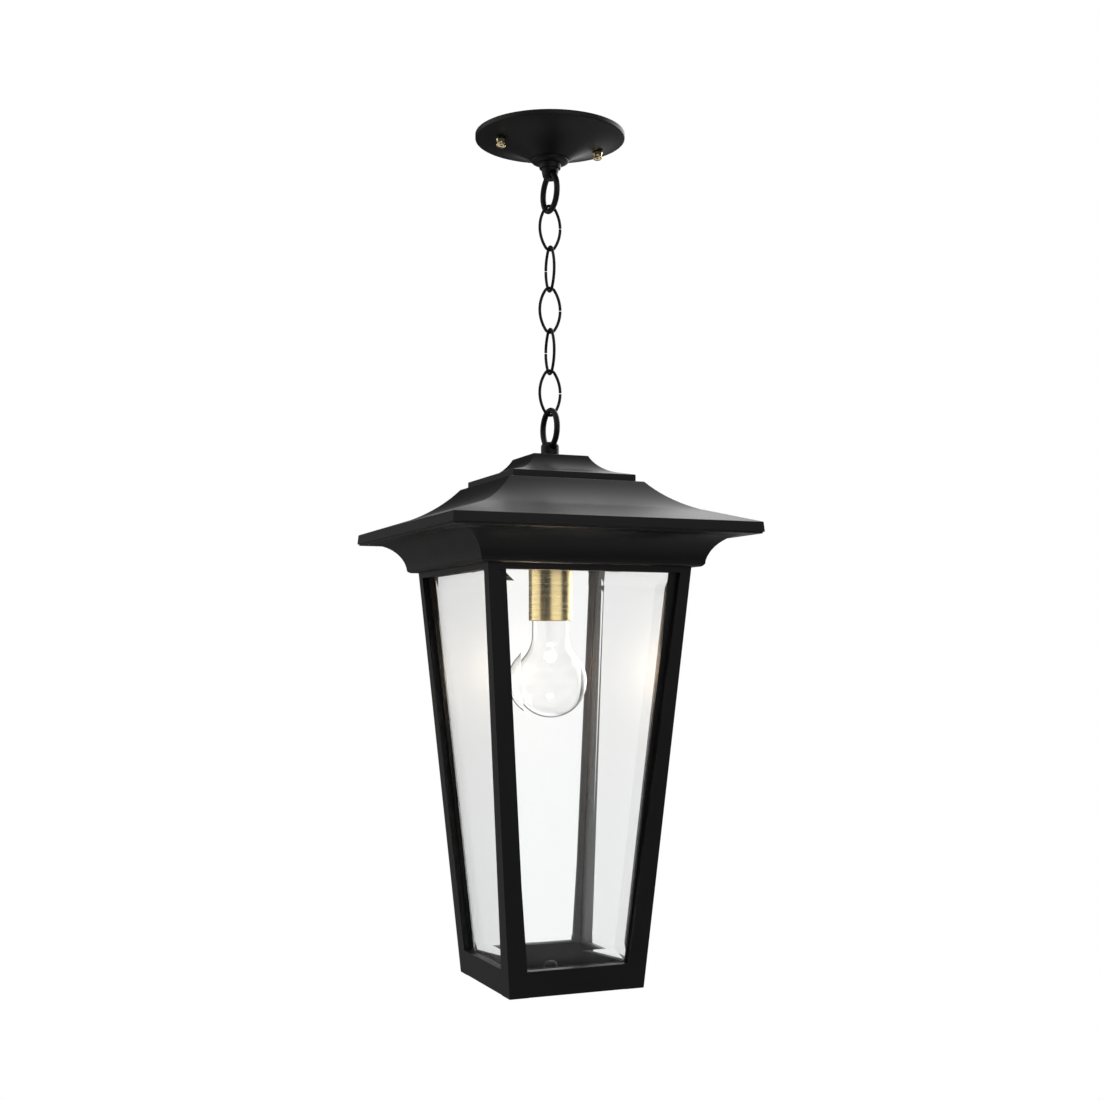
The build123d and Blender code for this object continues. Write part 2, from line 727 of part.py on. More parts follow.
# Rails: the top ones carry a ledge for the bridge and screws, the bottom ones a grooved sill with
# a skirt behind it and a lip for the base plate
for side, turn in sides.items():
    with BuildPart() as top_rail:
        for z in (opening_top, frame_top):
            with BuildSketch(level(z, turn)):
                with BuildLine():
                    Polyline(*rail_section(z), close=True)
                make_face()
        loft(ruled=True)
        ledge_reach = top_ledge_depth + flange_thickness
        ledge_length = 2 * (frame_top_half - rail_depth - top_ledge_depth - top_ledge_end)
        with BuildSketch(level(frame_top, turn)):
            with Locations((0, face_thickness + ledge_reach / 2 - frame_half(top_ledge_foot))):
                Rectangle(ledge_length, ledge_reach)
        extrude(amount=-top_ledge_thickness)
        with BuildSketch(level(frame_top, turn)):
            with Locations(*frame_screw_spots):
                Circle(screw_diameter / 2 + screw_fit)
            with Locations((clip_offset, clip_screw_inset - top_clip_half)):
                Circle(clip_screw_radius + screw_fit)
        extrude(amount=-top_ledge_thickness, mode=Mode.SUBTRACT)
    save(top_rail.part, f"top_rail_{side}")

    with BuildPart() as bottom_rail:
        for z in (frame_base, sill):
            with BuildSketch(level(z, turn)):
                with BuildLine():
                    Polyline(*rail_section(z), close=True)
                make_face()
        loft(ruled=True)
        sill_reach = sill_ledge_depth + flange_thickness
        ledge_foot_half = frame_half(sill_ledge_top - sill_ledge_thickness)
        sill_length = 2 * (ledge_foot_half - max(flange_margin, rail_depth + sill_ledge_depth)) - seat_gap
        with BuildSketch(level(sill_ledge_top, turn)):
            with Locations((0, face_thickness + sill_reach / 2 - sill_half)):
                Rectangle(sill_length, sill_reach)
        extrude(amount=-sill_ledge_thickness)
        skirt_middle = rail_depth + sill_ledge_depth - sill_skirt / 2
        with BuildSketch(level(sill, turn)):
            with Locations((0, skirt_middle - sill_half)):
                Rectangle(sill_length, sill_skirt)
        extrude(amount=lip_foot - sill)
        lip_reach = lip_depth + flange_thickness
        lip_length = 2 * (lip_half - max(flange_margin, rail_depth + lip_depth)) - seat_gap
        with BuildSketch(level(lip_foot, turn)):
            with Locations((0, face_thickness + lip_reach / 2 - lip_half)):
                Rectangle(lip_length, lip_reach)
        extrude(amount=lip_thickness)
        with BuildSketch(level(lip_foot, turn)):
            with Locations((0, lip_screw_inset - lip_half)):
                Circle(screw_diameter / 2 + screw_fit)
        extrude(amount=lip_thickness, mode=Mode.SUBTRACT)
    save(bottom_rail.part, f"bottom_rail_{side}")

# Base plate, screwed up against the lips of the bottom rails
base_plate_half = frame_base_half - rail_depth - seat_gap
with BuildPart() as base_plate:
    with BuildSketch(level(frame_base)):
        Rectangle(2 * base_plate_half, 2 * base_plate_half)
    extrude(amount=base_plate_thickness)
    for turn in sides.values():
        with BuildSketch(level(frame_base, turn)):
            with Locations((0, lip_screw_inset - lip_half)):
                Circle(screw_head_diameter / 2 + screw_fit)
        extrude(amount=screw_head_height, mode=Mode.SUBTRACT)
        with BuildSketch(level(frame_base, turn)):
            with Locations((0, lip_screw_inset - lip_half)):
                Circle(screw_diameter / 2 + screw_fit)
        extrude(amount=base_plate_thickness, mode=Mode.SUBTRACT)
save(base_plate.part, "base_plate")

with BuildPart() as base_screws:
    for turn in sides.values():
        with BuildSketch(level(frame_base, turn)):
            with Locations((0, lip_screw_inset - lip_half)):
                Circle(screw_head_diameter / 2)
        extrude(amount=screw_head_height)
        with BuildSketch(level(frame_base + screw_head_height, turn)):
            with Locations((0, lip_screw_inset - lip_half)):
                Circle(screw_diameter / 2)
        extrude(amount=base_plate_thickness - screw_head_height + lip_thickness)
save(base_screws.part, "base_screws")

# Tapered stud on the middle of the base plate
with BuildPart() as base_stud:
    with Locations((0, 0, lip_foot)):
        Cone(base_stud_foot_diameter / 2, base_stud_diameter / 2, base_stud_height,
             align=(Align.CENTER, Align.CENTER, Align.MIN))
save(base_stud.part, "base_stud")

# Screws up through the top ledges into the cove
with BuildPart() as frame_screws:
    for turn in sides.values():
        with BuildSketch(level(top_ledge_foot, turn)):
            with Locations(*frame_screw_spots):
                Circle(screw_head_diameter / 2)
        extrude(amount=-screw_head_height)
        with BuildSketch(level(top_ledge_foot, turn)):
            with Locations(*frame_screw_spots):
                Circle(screw_diameter / 2)
        extrude(amount=frame_screw_length)
save(frame_screws.part, "frame_screws")

# Glass panes: flat inside, bevelled all round outside, leaning with the cage
pane_middle = (pane_top + pane_base) / 2
pane_half_height = (pane_top - pane_base) / 2 / cos(radians(lean))


def pane_plane(turn):
    """Plane of a pane's inner face, with its normal pointing out of the lantern."""
    stand_off = frame_half(pane_middle) - pane_back
    way_out = (sin(radians(turn)), -cos(radians(turn)))
    origin = (stand_off * way_out[0], stand_off * way_out[1], pane_middle)
    heading = (cos(radians(turn)), sin(radians(turn)), 0)
    drop = sin(radians(lean))
    flat = cos(radians(lean))
    return Plane(origin=origin, x_dir=heading, z_dir=(way_out[0] * flat, way_out[1] * flat, -drop))


def pane_outline():
    """Trapezoid of a whole pane."""
    top = frame_half(pane_top) - pane_margin
    base = frame_half(pane_base) - pane_margin
    return [(-base, -pane_half_height), (base, -pane_half_height),
            (top, pane_half_height), (-top, pane_half_height)]


for side, turn in sides.items():
    with BuildPart() as pane:
        with BuildSketch(pane_plane(turn)):
            with BuildLine():
                Polyline(*pane_outline(), close=True)
            make_face()
        extrude(amount=glass_edge_thickness)
        with BuildSketch(pane_plane(turn).offset(glass_edge_thickness)):
            with BuildLine():
                Polyline(*pane_outline(), close=True)
            make_face()
        with BuildSketch(pane_plane(turn).offset(glass_thickness)):
            with BuildLine():
                Polyline(*pane_outline(), close=True)
            make_face()
            offset(amount=-glass_bevel, kind=Kind.INTERSECTION, mode=Mode.REPLACE)
        loft(ruled=True)
    save(pane.part, f"glass_{side}")

# Clips under the top ledges that keep the panes against the flanges
clip_back = pane_back + glass_gap
with BuildPart() as glass_clips:
    for turn in sides.values():
        with BuildSketch(level(top_ledge_foot, turn)):
            with Locations((clip_offset, clip_back + clip_thickness / 2 - top_clip_half)):
                Rectangle(clip_width, clip_thickness)
        extrude(amount=-clip_height)
        with BuildSketch(level(top_ledge_foot, turn)):
            with Locations((clip_offset, clip_back + (clip_thickness + clip_foot) / 2 - top_clip_half)):
                Rectangle(clip_width, clip_thickness + clip_foot)
            with Locations((clip_offset, clip_screw_inset - top_clip_half)):
                Circle(clip_screw_radius + screw_fit, mode=Mode.SUBTRACT)
        extrude(amount=-clip_thickness)
save(glass_clips.part, "glass_clips")

with BuildPart() as clip_screws:
    for turn in sides.values():
        with BuildSketch(level(top_ledge_foot - clip_thickness, turn)):
            with Locations((clip_offset, clip_screw_inset - top_clip_half)):
                Circle(clip_screw_head / 2)
        extrude(amount=-clip_screw_head_height)
        with BuildSketch(level(top_ledge_foot - clip_thickness, turn)):
            with Locations((clip_offset, clip_screw_inset - top_clip_half)):
                Circle(clip_screw_radius)
        extrude(amount=clip_thickness + top_ledge_thickness)
save(clip_screws.part, "clip_screws")

# Bridge: a bent strap under the side ledges, raised in the middle, that carries lamp and roof
ledge_inner = frame_top_half - rail_depth - top_ledge_depth
foot_outer = ledge_inner + bridge_foot_bearing
with BuildPart() as socket_bridge:
    with BuildSketch(Plane.XZ):
        with BuildLine():
            upper_edge = [(foot_outer, bridge_foot_top), (bridge_foot_inner, bridge_foot_top),
                          (bridge_top_half, bridge_top), (0, bridge_top)]
            slope_run = bridge_foot_inner - bridge_top_half
            slope_length = hypot(slope_run, bridge_rise)
            bend_shift = bridge_thickness * (slope_length - bridge_rise) / slope_run
            lower_edge = [(0, bridge_under), (bridge_top_half - bend_shift, bridge_under),
                          (bridge_foot_inner - bend_shift, bridge_foot_top - bridge_thickness),
                          (foot_outer, bridge_foot_top - bridge_thickness)]
            Polyline(*upper_edge, *lower_edge, close=True)
        make_face()
        mirror(about=Plane.YZ)
    extrude(amount=bridge_width / 2, both=True)
    with BuildSketch(level(bridge_top)):
        Circle(tube_radius + screw_fit)
    extrude(amount=-bridge_thickness, mode=Mode.SUBTRACT)
save(socket_bridge.part, "socket_bridge")

# Brass sleeve over the lampholder, hung under the bridge by the nut on the tube
with BuildPart() as socket_sleeve:
    with BuildSketch(level(sleeve_foot)):
        Circle(sleeve_radius)
    extrude(amount=sleeve_length)
    with BuildSketch(level(sleeve_foot)):
        Circle(sleeve_bore)
    extrude(amount=sleeve_length - sleeve_wall, mode=Mode.SUBTRACT)
    with BuildSketch(level(sleeve_foot)):
        Circle(tube_radius + screw_fit)
    extrude(amount=sleeve_length, mode=Mode.SUBTRACT)
save(socket_sleeve.part, "socket_sleeve")

with BuildPart() as bridge_washer:
    with BuildSketch(level(washer_top)):
        Circle(washer_diameter / 2)
        Circle(tube_radius + screw_fit, mode=Mode.SUBTRACT)
    extrude(amount=-washer_thickness)
save(bridge_washer.part, "bridge_washer")

with BuildPart() as bridge_nut:
    with BuildSketch(level(bridge_nut_top)):
        RegularPolygon(lock_nut_size / 2, 6, major_radius=False)
        Circle(tube_radius + screw_fit, mode=Mode.SUBTRACT)
    extrude(amount=-nut_height)
save(bridge_nut.part, "bridge_nut")

# Lampholder: cap on the tube, insulating body, screw shell and sprung centre contact
plunger_guide = plunger_stem_diameter / 2 + running_fit
holder_roof = plunger_top + plunger_travel / 2
with BuildPart() as lampholder_cap:
    with BuildSketch(level(holder_cap_top)):
        Circle(holder_radius)
        Circle(tube_radius + screw_fit, mode=Mode.SUBTRACT)
    extrude(amount=-holder_cap_height)
    top_edges = lampholder_cap.edges().filter_by(GeomType.CIRCLE).group_by(Axis.Z)[-1]
    fillet(top_edges.sort_by(SortBy.RADIUS)[-1], holder_cap_round)
save(lampholder_cap.part, "lampholder_cap")

with BuildPart() as lampholder_body:
    with BuildSketch(level(holder_foot)):
        Circle(holder_radius)
    extrude(amount=holder_top - holder_foot)
    with BuildSketch(level(holder_foot)):
        Circle(shell_radius + shell_wall + screw_fit)
    extrude(amount=holder_roof - holder_foot, mode=Mode.SUBTRACT)
    with BuildSketch(level(holder_foot)):
        Circle(plunger_guide)
    extrude(amount=holder_top - holder_foot, mode=Mode.SUBTRACT)
save(lampholder_body.part, "lampholder_body")

with BuildPart() as screw_shell:
    with BuildSketch(level(holder_foot + shell_lip)):
        Circle(shell_radius + shell_wall)
        Circle(shell_radius, mode=Mode.SUBTRACT)
    extrude(amount=holder_roof - holder_foot - shell_lip)
save(screw_shell.part, "screw_shell")

with BuildPart() as centre_contact:
    with BuildSketch(level(contact_top)):
        Circle(plunger_diameter / 2)
    extrude(amount=plunger_disc)
    with BuildSketch(level(plunger_top)):
        Circle(plunger_stem_diameter / 2)
    extrude(amount=plunger_stem)
save(centre_contact.part, "centre_contact")

# Lamp: glass envelope, screw base, glass mount, lead wires and filament
blend = radians(lamp_blend_angle)
blend_x = lamp_radius * cos(blend)
blend_z = lamp_center + lamp_radius * sin(blend)
flare_radius = (blend_x - lamp_neck) / (1 - cos(blend))
neck_z = blend_z + flare_radius * sin(blend)
flare_middle = (lamp_neck + flare_radius * (1 - cos(blend / 2)), neck_z - flare_radius * sin(blend / 2))
neck_end = base_rim - lamp_neck_taper


def envelope(inset):
    """Half outline of the lamp's envelope, moved in by inset."""
    ThreePointArc((0, lamp_tip + inset), (lamp_radius - inset, lamp_center),
                  ((lamp_radius - inset) * cos(blend), lamp_center + (lamp_radius - inset) * sin(blend)))
    ThreePointArc(((lamp_radius - inset) * cos(blend), lamp_center + (lamp_radius - inset) * sin(blend)),
                  (flare_middle[0] - inset * cos(blend / 2), flare_middle[1] - inset * sin(blend / 2)),
                  (lamp_neck - inset, neck_z))
    Line((lamp_neck - inset, neck_z), (lamp_neck - inset, neck_end))
    Line((lamp_neck - inset, neck_end), (base_radius - inset, base_rim))
    Line((base_radius - inset, base_rim), (0, base_rim))
    Line((0, base_rim), (0, lamp_tip + inset))


with BuildPart() as bulb_glass:
    with BuildSketch(Plane.XZ):
        with BuildLine():
            envelope(0)
        make_face()
    revolve(axis=Axis.Z)
    with BuildSketch(Plane.XZ):
        with BuildLine():
            envelope(lamp_glass)
        make_face()
    revolve(axis=Axis.Z, mode=Mode.SUBTRACT)
save(bulb_glass.part, "bulb_glass")

thread_start = base_rim + base_skirt
base_thread_length = base_thread_pitch * base_thread_turns
thread_top = thread_start + base_thread_length
neck_radius = base_radius - base_thread_depth
contact_radius = contact_diameter / 2
with BuildPart() as bulb_base:
    with BuildSketch(Plane.XZ):
        with BuildLine():
            Line((0, base_rim), (base_radius, base_rim))
            Line((base_radius, base_rim), (base_radius, thread_start))
            for turn_index in range(base_thread_turns):
                foot = thread_start + turn_index * base_thread_pitch
                waist = (neck_radius, foot + base_thread_pitch / 2)
                ThreePointArc((base_radius, foot), waist, (base_radius, foot + base_thread_pitch))
            Line((base_radius, thread_top), (contact_radius, contact_top - contact_height))
            Line((contact_radius, contact_top - contact_height), (contact_radius, contact_top))
            Line((contact_radius, contact_top), (0, contact_top))
            Line((0, contact_top), (0, base_rim))
        make_face()
    revolve(axis=Axis.Z)
    with BuildSketch(level(base_rim)):
        Circle(neck_radius - base_wall)
    extrude(amount=base_thread_length + base_skirt, mode=Mode.SUBTRACT)
save(bulb_base.part, "bulb_base")

filament_z = lamp_tip + filament_height
pinch_foot = filament_z + stem_pinch_length
pinch_top = pinch_foot + stem_pinch_length
pinch_edge = stem_pinch_diameter / 2
tube_edge = stem_tube_diameter / 2
flare_edge = base_radius - lamp_glass - screw_fit
flare_foot = base_rim - stem_flare_rim
with BuildPart() as bulb_stem:
    with BuildSketch(Plane.XZ):
        with BuildLine():
            Line((0, base_rim), (flare_edge, base_rim))
            Line((flare_edge, base_rim), (flare_edge, flare_foot))
            EllipticalCenterArc((flare_edge, flare_foot - stem_flare_height), flare_edge - tube_edge,
                                stem_flare_height, 90, arc_size=90)
            Line((tube_edge, flare_foot - stem_flare_height), (tube_edge, pinch_top))
            Line((tube_edge, pinch_top), (pinch_edge, pinch_foot))
            Line((pinch_edge, pinch_foot), (0, pinch_foot))
            Line((0, pinch_foot), (0, base_rim))
        make_face()
    revolve(axis=Axis.Z)
save(bulb_stem.part, "bulb_stem")

lead_foot = (lead_spacing / 2, pinch_foot - lead_wire / 2)
with BuildPart() as lead_wires:
    for way in (-1, 1):
        with BuildLine(Plane.XZ) as lead:
            Line((way * lead_foot[0], lead_foot[1]), (way * filament_span / 2, filament_z))
        lead_path = lead.wire()
        with BuildSketch(Plane(origin=lead_path @ 0, z_dir=lead_path % 0)):
            Circle(lead_wire / 2)
        sweep(path=lead_path)
save(lead_wires.part, "lead_wires")

filament_foot = filament_z - lead_wire / 2 - filament_wire / 2
with BuildPart() as filament:
    with BuildLine(Plane.XZ) as arch:
        ThreePointArc((-filament_span / 2, filament_foot), (0, filament_foot - filament_rise),
                      (filament_span / 2, filament_foot))
    arch_path = arch.wire()
    with BuildSketch(Plane(origin=arch_path @ 0, z_dir=arch_path % 0)):
        Circle(filament_wire / 2)
    sweep(path=arch_path)
save(filament.part, "filament")
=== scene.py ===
import json
from math import atan2, cos, hypot, pi, radians, sin, tan

import bmesh
import bpy
from bpy.props import FloatProperty, FloatVectorProperty, IntProperty, PointerProperty
from bpy.types import Operator, Panel, PropertyGroup
from mathutils import Matrix, Vector

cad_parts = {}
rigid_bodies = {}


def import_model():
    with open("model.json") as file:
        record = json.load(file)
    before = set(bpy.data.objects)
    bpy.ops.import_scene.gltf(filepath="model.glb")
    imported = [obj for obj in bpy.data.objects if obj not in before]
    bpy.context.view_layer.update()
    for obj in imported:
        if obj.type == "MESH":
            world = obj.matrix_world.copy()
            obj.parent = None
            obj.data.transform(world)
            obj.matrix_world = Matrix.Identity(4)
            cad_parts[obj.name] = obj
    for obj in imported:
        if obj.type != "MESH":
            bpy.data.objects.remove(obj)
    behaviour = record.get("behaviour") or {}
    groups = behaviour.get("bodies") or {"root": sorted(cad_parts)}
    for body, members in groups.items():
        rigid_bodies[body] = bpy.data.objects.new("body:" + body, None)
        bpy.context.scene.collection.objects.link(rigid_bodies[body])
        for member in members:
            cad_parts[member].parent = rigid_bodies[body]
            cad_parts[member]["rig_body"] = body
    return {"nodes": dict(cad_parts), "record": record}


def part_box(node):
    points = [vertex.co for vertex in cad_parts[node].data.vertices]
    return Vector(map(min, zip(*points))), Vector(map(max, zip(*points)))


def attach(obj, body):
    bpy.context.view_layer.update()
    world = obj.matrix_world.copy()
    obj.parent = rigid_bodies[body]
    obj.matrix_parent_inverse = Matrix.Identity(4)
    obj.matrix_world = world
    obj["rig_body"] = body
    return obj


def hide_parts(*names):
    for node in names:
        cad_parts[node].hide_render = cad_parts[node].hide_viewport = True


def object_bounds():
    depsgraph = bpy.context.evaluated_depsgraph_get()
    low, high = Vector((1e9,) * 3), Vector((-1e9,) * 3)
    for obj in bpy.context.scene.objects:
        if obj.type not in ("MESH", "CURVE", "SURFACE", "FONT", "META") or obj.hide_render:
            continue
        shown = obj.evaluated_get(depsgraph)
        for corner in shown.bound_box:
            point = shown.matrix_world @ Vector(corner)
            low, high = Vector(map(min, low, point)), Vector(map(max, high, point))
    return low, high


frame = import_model()
cad_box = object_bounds()

bl_info = {
    "name": "Hanging Lantern",
    "version": (1, 0, 0),
    "blender": (4, 5, 0),
    "location": "View3D > Sidebar > Lantern",
    "description": "Dresses the packed lantern: canopy, chain, roof, glazed cage, lamp and stage",
    "category": "Object",
}

# Points nearer than WELD are one, faces flatter than FLAT are one, edges past CREASE stay sharp.
WELD = 1e-6
FLAT = radians(0.1)
CREASE = radians(30)
SLOTS = {part["node"]: part["material_slot"] for part in frame["record"]["subparts"]}
LINKS = [f"chain_link_{count}" for count in range(1, 6)]
SIDES = ("front", "right", "back", "left")
CORNERS = ("front_left", "front_right", "back_right", "back_left")

# Edges are told apart by how near they lie to a face or a corner, and a post's by their length.
EAVE_INSET = 0.001
FOOT_REACH = 0.0005
FLANGE_REACH = 0.002
CORNER_REACH = 0.001
POST_RUN = 0.1

# Points round small turned pieces, fine wires and the floor, and along the curves of turned pieces.
NUT_FACETS = 64
STUD_FACETS = 48
SCREW_FACETS = 32
MOUNT_FACETS = 48
LEAD_FACETS = 10
COIL_FACETS = 6
FLOOR_FACETS = 96
NECK_STEPS = 8
DOME_STEPS = 12
HEAD_STEPS = 4
BULB_STEPS = 48
SHOULDER_STEPS = 20
FLARE_STEPS = 16

# How strongly each glass bends light.
PANE_INDEX = 1.46
LAMP_INDEX = 1.33
MOUNT_INDEX = 1.0

# Dark and light tone of the filament and of the floor, and the floor's share of plain white to the eye.
FILAMENT_TONES = ((0.3, 0.28, 0.26), (0.45, 0.43, 0.4))
FLOOR_TONES = ((0.8, 0.8, 0.8), (0.84, 0.84, 0.84))
FLOOR_WHITE = 0.75

# What gloss mirrors of the room, in degrees. A patch: turn from +X, rise, reach, core, then strength.
ROOM_GLEAM = 0.05
ROOM_PATCHES = ((130, -15, 50, 10, 0.22), (205, 55, 52, 12, 1.1))
LIT_SIDE = (-15, 0, 98, 82)
SIDE_PATCHES = ((30, 30, 52, 10, 3.0), (-45, 75, 60, 15, 0.4), (40, -10, 35, 8, 0.35))
# Upright boxes in the same gloss: turn, half width, strength. Blur of their sides, heights of their ends.
UPRIGHT_BOXES = ((-82, 27, 1.25), (157, 32, 1.2), (13, 26, 0.72))
BOX_BLUR = 9
BOX_FOOT = (-0.2, -0.12)
BOX_TOP = (0.5, 0.65)
# More than the times that gloss mirrors any ray.
MOST_MIRRORED = 8.0
# Soft boxes that light the lantern: name, turn, rise, width, height, strength.
SOFT_BOXES = (
    ("front_box", -82, 16, 54, 45, 1.5),
    ("left_box", 157, 20, 64, 54, 1.4),
    ("back_box", 28, 8, 78, 36, 1.2),
)


def length_setting(name, description, default):
    return FloatProperty(name=name, description=description, default=default, unit="LENGTH")


def colour_setting(name, description, default):
    return FloatVectorProperty(name=name, description=description, default=default, subtype="COLOR")


def share_setting(name, description, default):
    return FloatProperty(name=name, description=description, default=default, subtype="FACTOR")


class LanternDetails(PropertyGroup):
    """Sizes of the small forms that the finished pieces add."""

    edge_round: length_setting("Edge rounding", "Radius on the edges of the coated castings", 0.0005)
    sheet_round: length_setting(
        "Sheet rounding", "Radius on the edges of thin sheet and turned parts", 0.00025)
    link_end_radius: length_setting(
        "Link end radius", "Bend radius at both ends of a chain link", 0.005)
    link_slit: length_setting("Link slit", "Gap where the two ends of a link's wire meet", 0.0009)
    bend_steps: IntProperty(
        name="Bend steps", description="Points along each arc of a bent wire", default=28)
    wire_facets: IntProperty(
        name="Wire facets", description="Points around a ring's or link's wire", default=20)
    turn_steps: IntProperty(
        name="Turning steps", description="Points around a turned or blown piece", default=96)
    lamp_wall: length_setting("Lamp wall", "Wall of the lamp's glass envelope", 0.0006)
    lamp_neck: length_setting("Lamp neck", "Radius of the neck of the lamp", 0.0154)
    lamp_blend: FloatProperty(
        name="Lamp blend", description="Angle above the equator where the bulb turns into the neck",
        default=radians(42), subtype="ANGLE")
    lamp_taper: length_setting("Lamp taper", "Height over which the neck closes to the base", 0.0034)
    coil_turns: IntProperty(
        name="Filament turns", description="Turns of the filament's coil", default=44)
    coil_wire: length_setting("Filament wire", "Radius of the filament's wire", 0.00007)


class LanternFinishes(PropertyGroup):
    """Colours and gloss of the lantern's finishes."""

    coat_colour: colour_setting("Coat colour", "Satin black powder coat", (0.0052, 0.0052, 0.0053))
    coat_roughness: share_setting("Coat roughness", "Middle roughness of the powder coat", 0.4)
    coat_gloss: share_setting("Coat gloss", "Specular level of the powder coat", 0.12)
    sleeve_colour: colour_setting(
        "Sleeve colour", "Brushed brass of the socket sleeve", (0.83, 0.66, 0.33))
    nut_colour: colour_setting("Nut colour", "Polished brass of the cap nuts", (0.86, 0.72, 0.42))
    contact_colour: colour_setting(
        "Contact colour", "Plain brass of shell and contact", (0.75, 0.56, 0.28))
    zinc_colour: colour_setting(
        "Zinc colour", "Zinc plate on straps, screws and clips", (0.55, 0.55, 0.54))
    ground_colour: colour_setting(
        "Ground screw colour", "Green of the ground screw", (0.04, 0.24, 0.09))
    holder_colour: colour_setting(
        "Lampholder colour", "Moulded insulator of the lampholder", (0.03, 0.029, 0.028))
    base_colour: colour_setting(
        "Lamp base colour", "Rolled metal of the lamp's screw base", (0.76, 0.74, 0.69))
    pane_colour: colour_setting("Pane colour", "Tint of the bevelled panes", (0.985, 0.992, 0.99))
    pane_sheen: share_setting("Pane sheen", "Weight of the soft reflection on a pane", 0.65)
    pane_softness: share_setting("Pane softness", "Roughness of the soft reflection on a pane", 0.52)
    lamp_colour: colour_setting("Lamp glass colour", "Tint of the lamp's glass", (0.995, 0.995, 0.995))
    wire_colour: colour_setting("Lead wire colour", "Nickel of the lead wires", (0.7, 0.69, 0.67))
    glow_colour: colour_setting("Filament glow", "Light of the hot filament", (1.0, 0.94, 0.85))
    glow_level: FloatProperty(
        name="Filament level", description="Strength of the filament's own light", default=1.2)


class LanternStage(PropertyGroup):
    """Camera, floor and light around the lantern."""

    view_turn: FloatProperty(
        name="View turn", description="How far left of the front the camera stands",
        default=radians(22.5), subtype="ANGLE")
    view_tilt: FloatProperty(
        name="View tilt", description="How far the camera looks up",
        default=radians(3.9055), subtype="ANGLE")
    view_distance: length_setting(
        "View distance", "Level distance from the camera to the lantern's axis", 1.27206)
    view_height: length_setting("View height", "Height of the camera, from the ceiling", -0.4403)
    lens: FloatProperty(
        name="Lens", description="Focal length in millimetres", default=50.0)
    floor_drop: length_setting("Floor drop", "Room between the lantern's base and the floor", 1.2)
    floor_radius: length_setting("Floor radius", "Reach of the pale floor", 2.4)
    room_light: FloatProperty(
        name="Room light", description="Level of the white room that diffuse surfaces see", default=0.5)
    box_distance: length_setting("Box distance", "Distance of the soft boxes from the lamp", 2.2)
    glow_power: FloatProperty(
        name="Lamp power", description="Light of the lit lamp", default=0.44, unit="POWER")
    glow_radius: length_setting("Lamp glow radius", "Radius of the lamp's glow", 0.0046)
    glow_rise: length_setting(
        "Lamp glow rise", "Height of the glow over the middle of the filament", 0.0016)
    glow_tint: colour_setting("Lamp tint", "Colour of the lamp's light", (1.0, 0.76, 0.53))


def details():
    return bpy.context.scene.lantern_details


def finishes():
    return bpy.context.scene.lantern_finishes


class Wire:
    """A node's output that takes part in sums: each operator adds a Math node."""

    def __init__(self, graph, socket):
        self.graph = graph
        self.socket = socket

    def out(self, name):
        """Another output of the same node."""
        return Wire(self.graph, self.socket.node.outputs[name])

    def sum(self, operation, first, second):
        return self.graph.node("ShaderNodeMath", {"operation": operation}, {0: first, 1: second})

    def __add__(self, other):
        return self.sum("ADD", self, other)

    def __sub__(self, other):
        return self.sum("SUBTRACT", self, other)

    def __mul__(self, other):
        return self.sum("MULTIPLY", self, other)

    def __rsub__(self, other):
        return self.sum("SUBTRACT", other, self)

    __radd__ = __add__
    __rmul__ = __mul__


class Graph:
    """A node tree that is written as expressions."""

    def __init__(self, tree):
        self.tree = tree
        tree.nodes.clear()

    def node(self, kind, settings=None, sockets=None, output=0):
        """Add a node: its settings first, then the values or links of its sockets."""
        made = self.tree.nodes.new(kind)
        for name, value in (settings or {}).items():
            setattr(made, name, value)
        for name, value in (sockets or {}).items():
            socket = made.inputs[name]
            if isinstance(value, Wire):
                self.tree.links.new(value.socket, socket)
            elif socket.type == "RGBA":
                socket.default_value = (*value, 1)
            else:
                socket.default_value = value
        return Wire(self, made.outputs[output]) if len(made.outputs) else None

    def blend(self, share, first, second):
        """Colour between two colours."""
        return self.node("ShaderNodeMix", {"data_type": "RGBA"}, {0: share, 6: first, 7: second}, 2)

    def between(self, value, low, high):
        """Value brought to 0 at low and 1 at high, with a soft start and end."""
        return self.node("ShaderNodeMapRange", {"interpolation_type": "SMOOTHSTEP"},
                         {"Value": value, "From Min": low, "From Max": high})

    def grain(self, scale, detail=2.0, stretch=None):
        """Noise in the object's own frame, about 0.5 in the middle."""
        place = self.node("ShaderNodeTexCoord", output="Object")
        if stretch:
            place = self.node("ShaderNodeMapping", {}, {"Vector": place, "Scale": stretch})
        return self.node("ShaderNodeTexNoise", {}, {"Vector": place, "Scale": scale, "Detail": detail})

    def bump(self, height, depth, strength=0.5):
        return self.node("ShaderNodeBump", {}, {"Height": height, "Distance": depth, "Strength": strength})

    def surface(self, sockets):
        """A Principled shader as the material's surface."""
        shader = self.node("ShaderNodeBsdfPrincipled", {}, sockets)
        self.node("ShaderNodeOutputMaterial", {}, {"Surface": shader})

    def clear_surface(self, sockets):
        """A Principled glass that lets the light of lamps straight through."""
        shader = self.node("ShaderNodeBsdfPrincipled", {}, sockets)
        open_way = self.node("ShaderNodeBsdfTransparent")
        shadow = self.node("ShaderNodeLightPath", output="Is Shadow Ray")
        both = self.node("ShaderNodeMixShader", {}, {0: shadow, 1: shader, 2: open_way})
        self.node("ShaderNodeOutputMaterial", {}, {"Surface": both})


def shade(colour, factor):
    """Colour made darker or lighter by a factor."""
    return tuple(channel * factor for channel in colour)


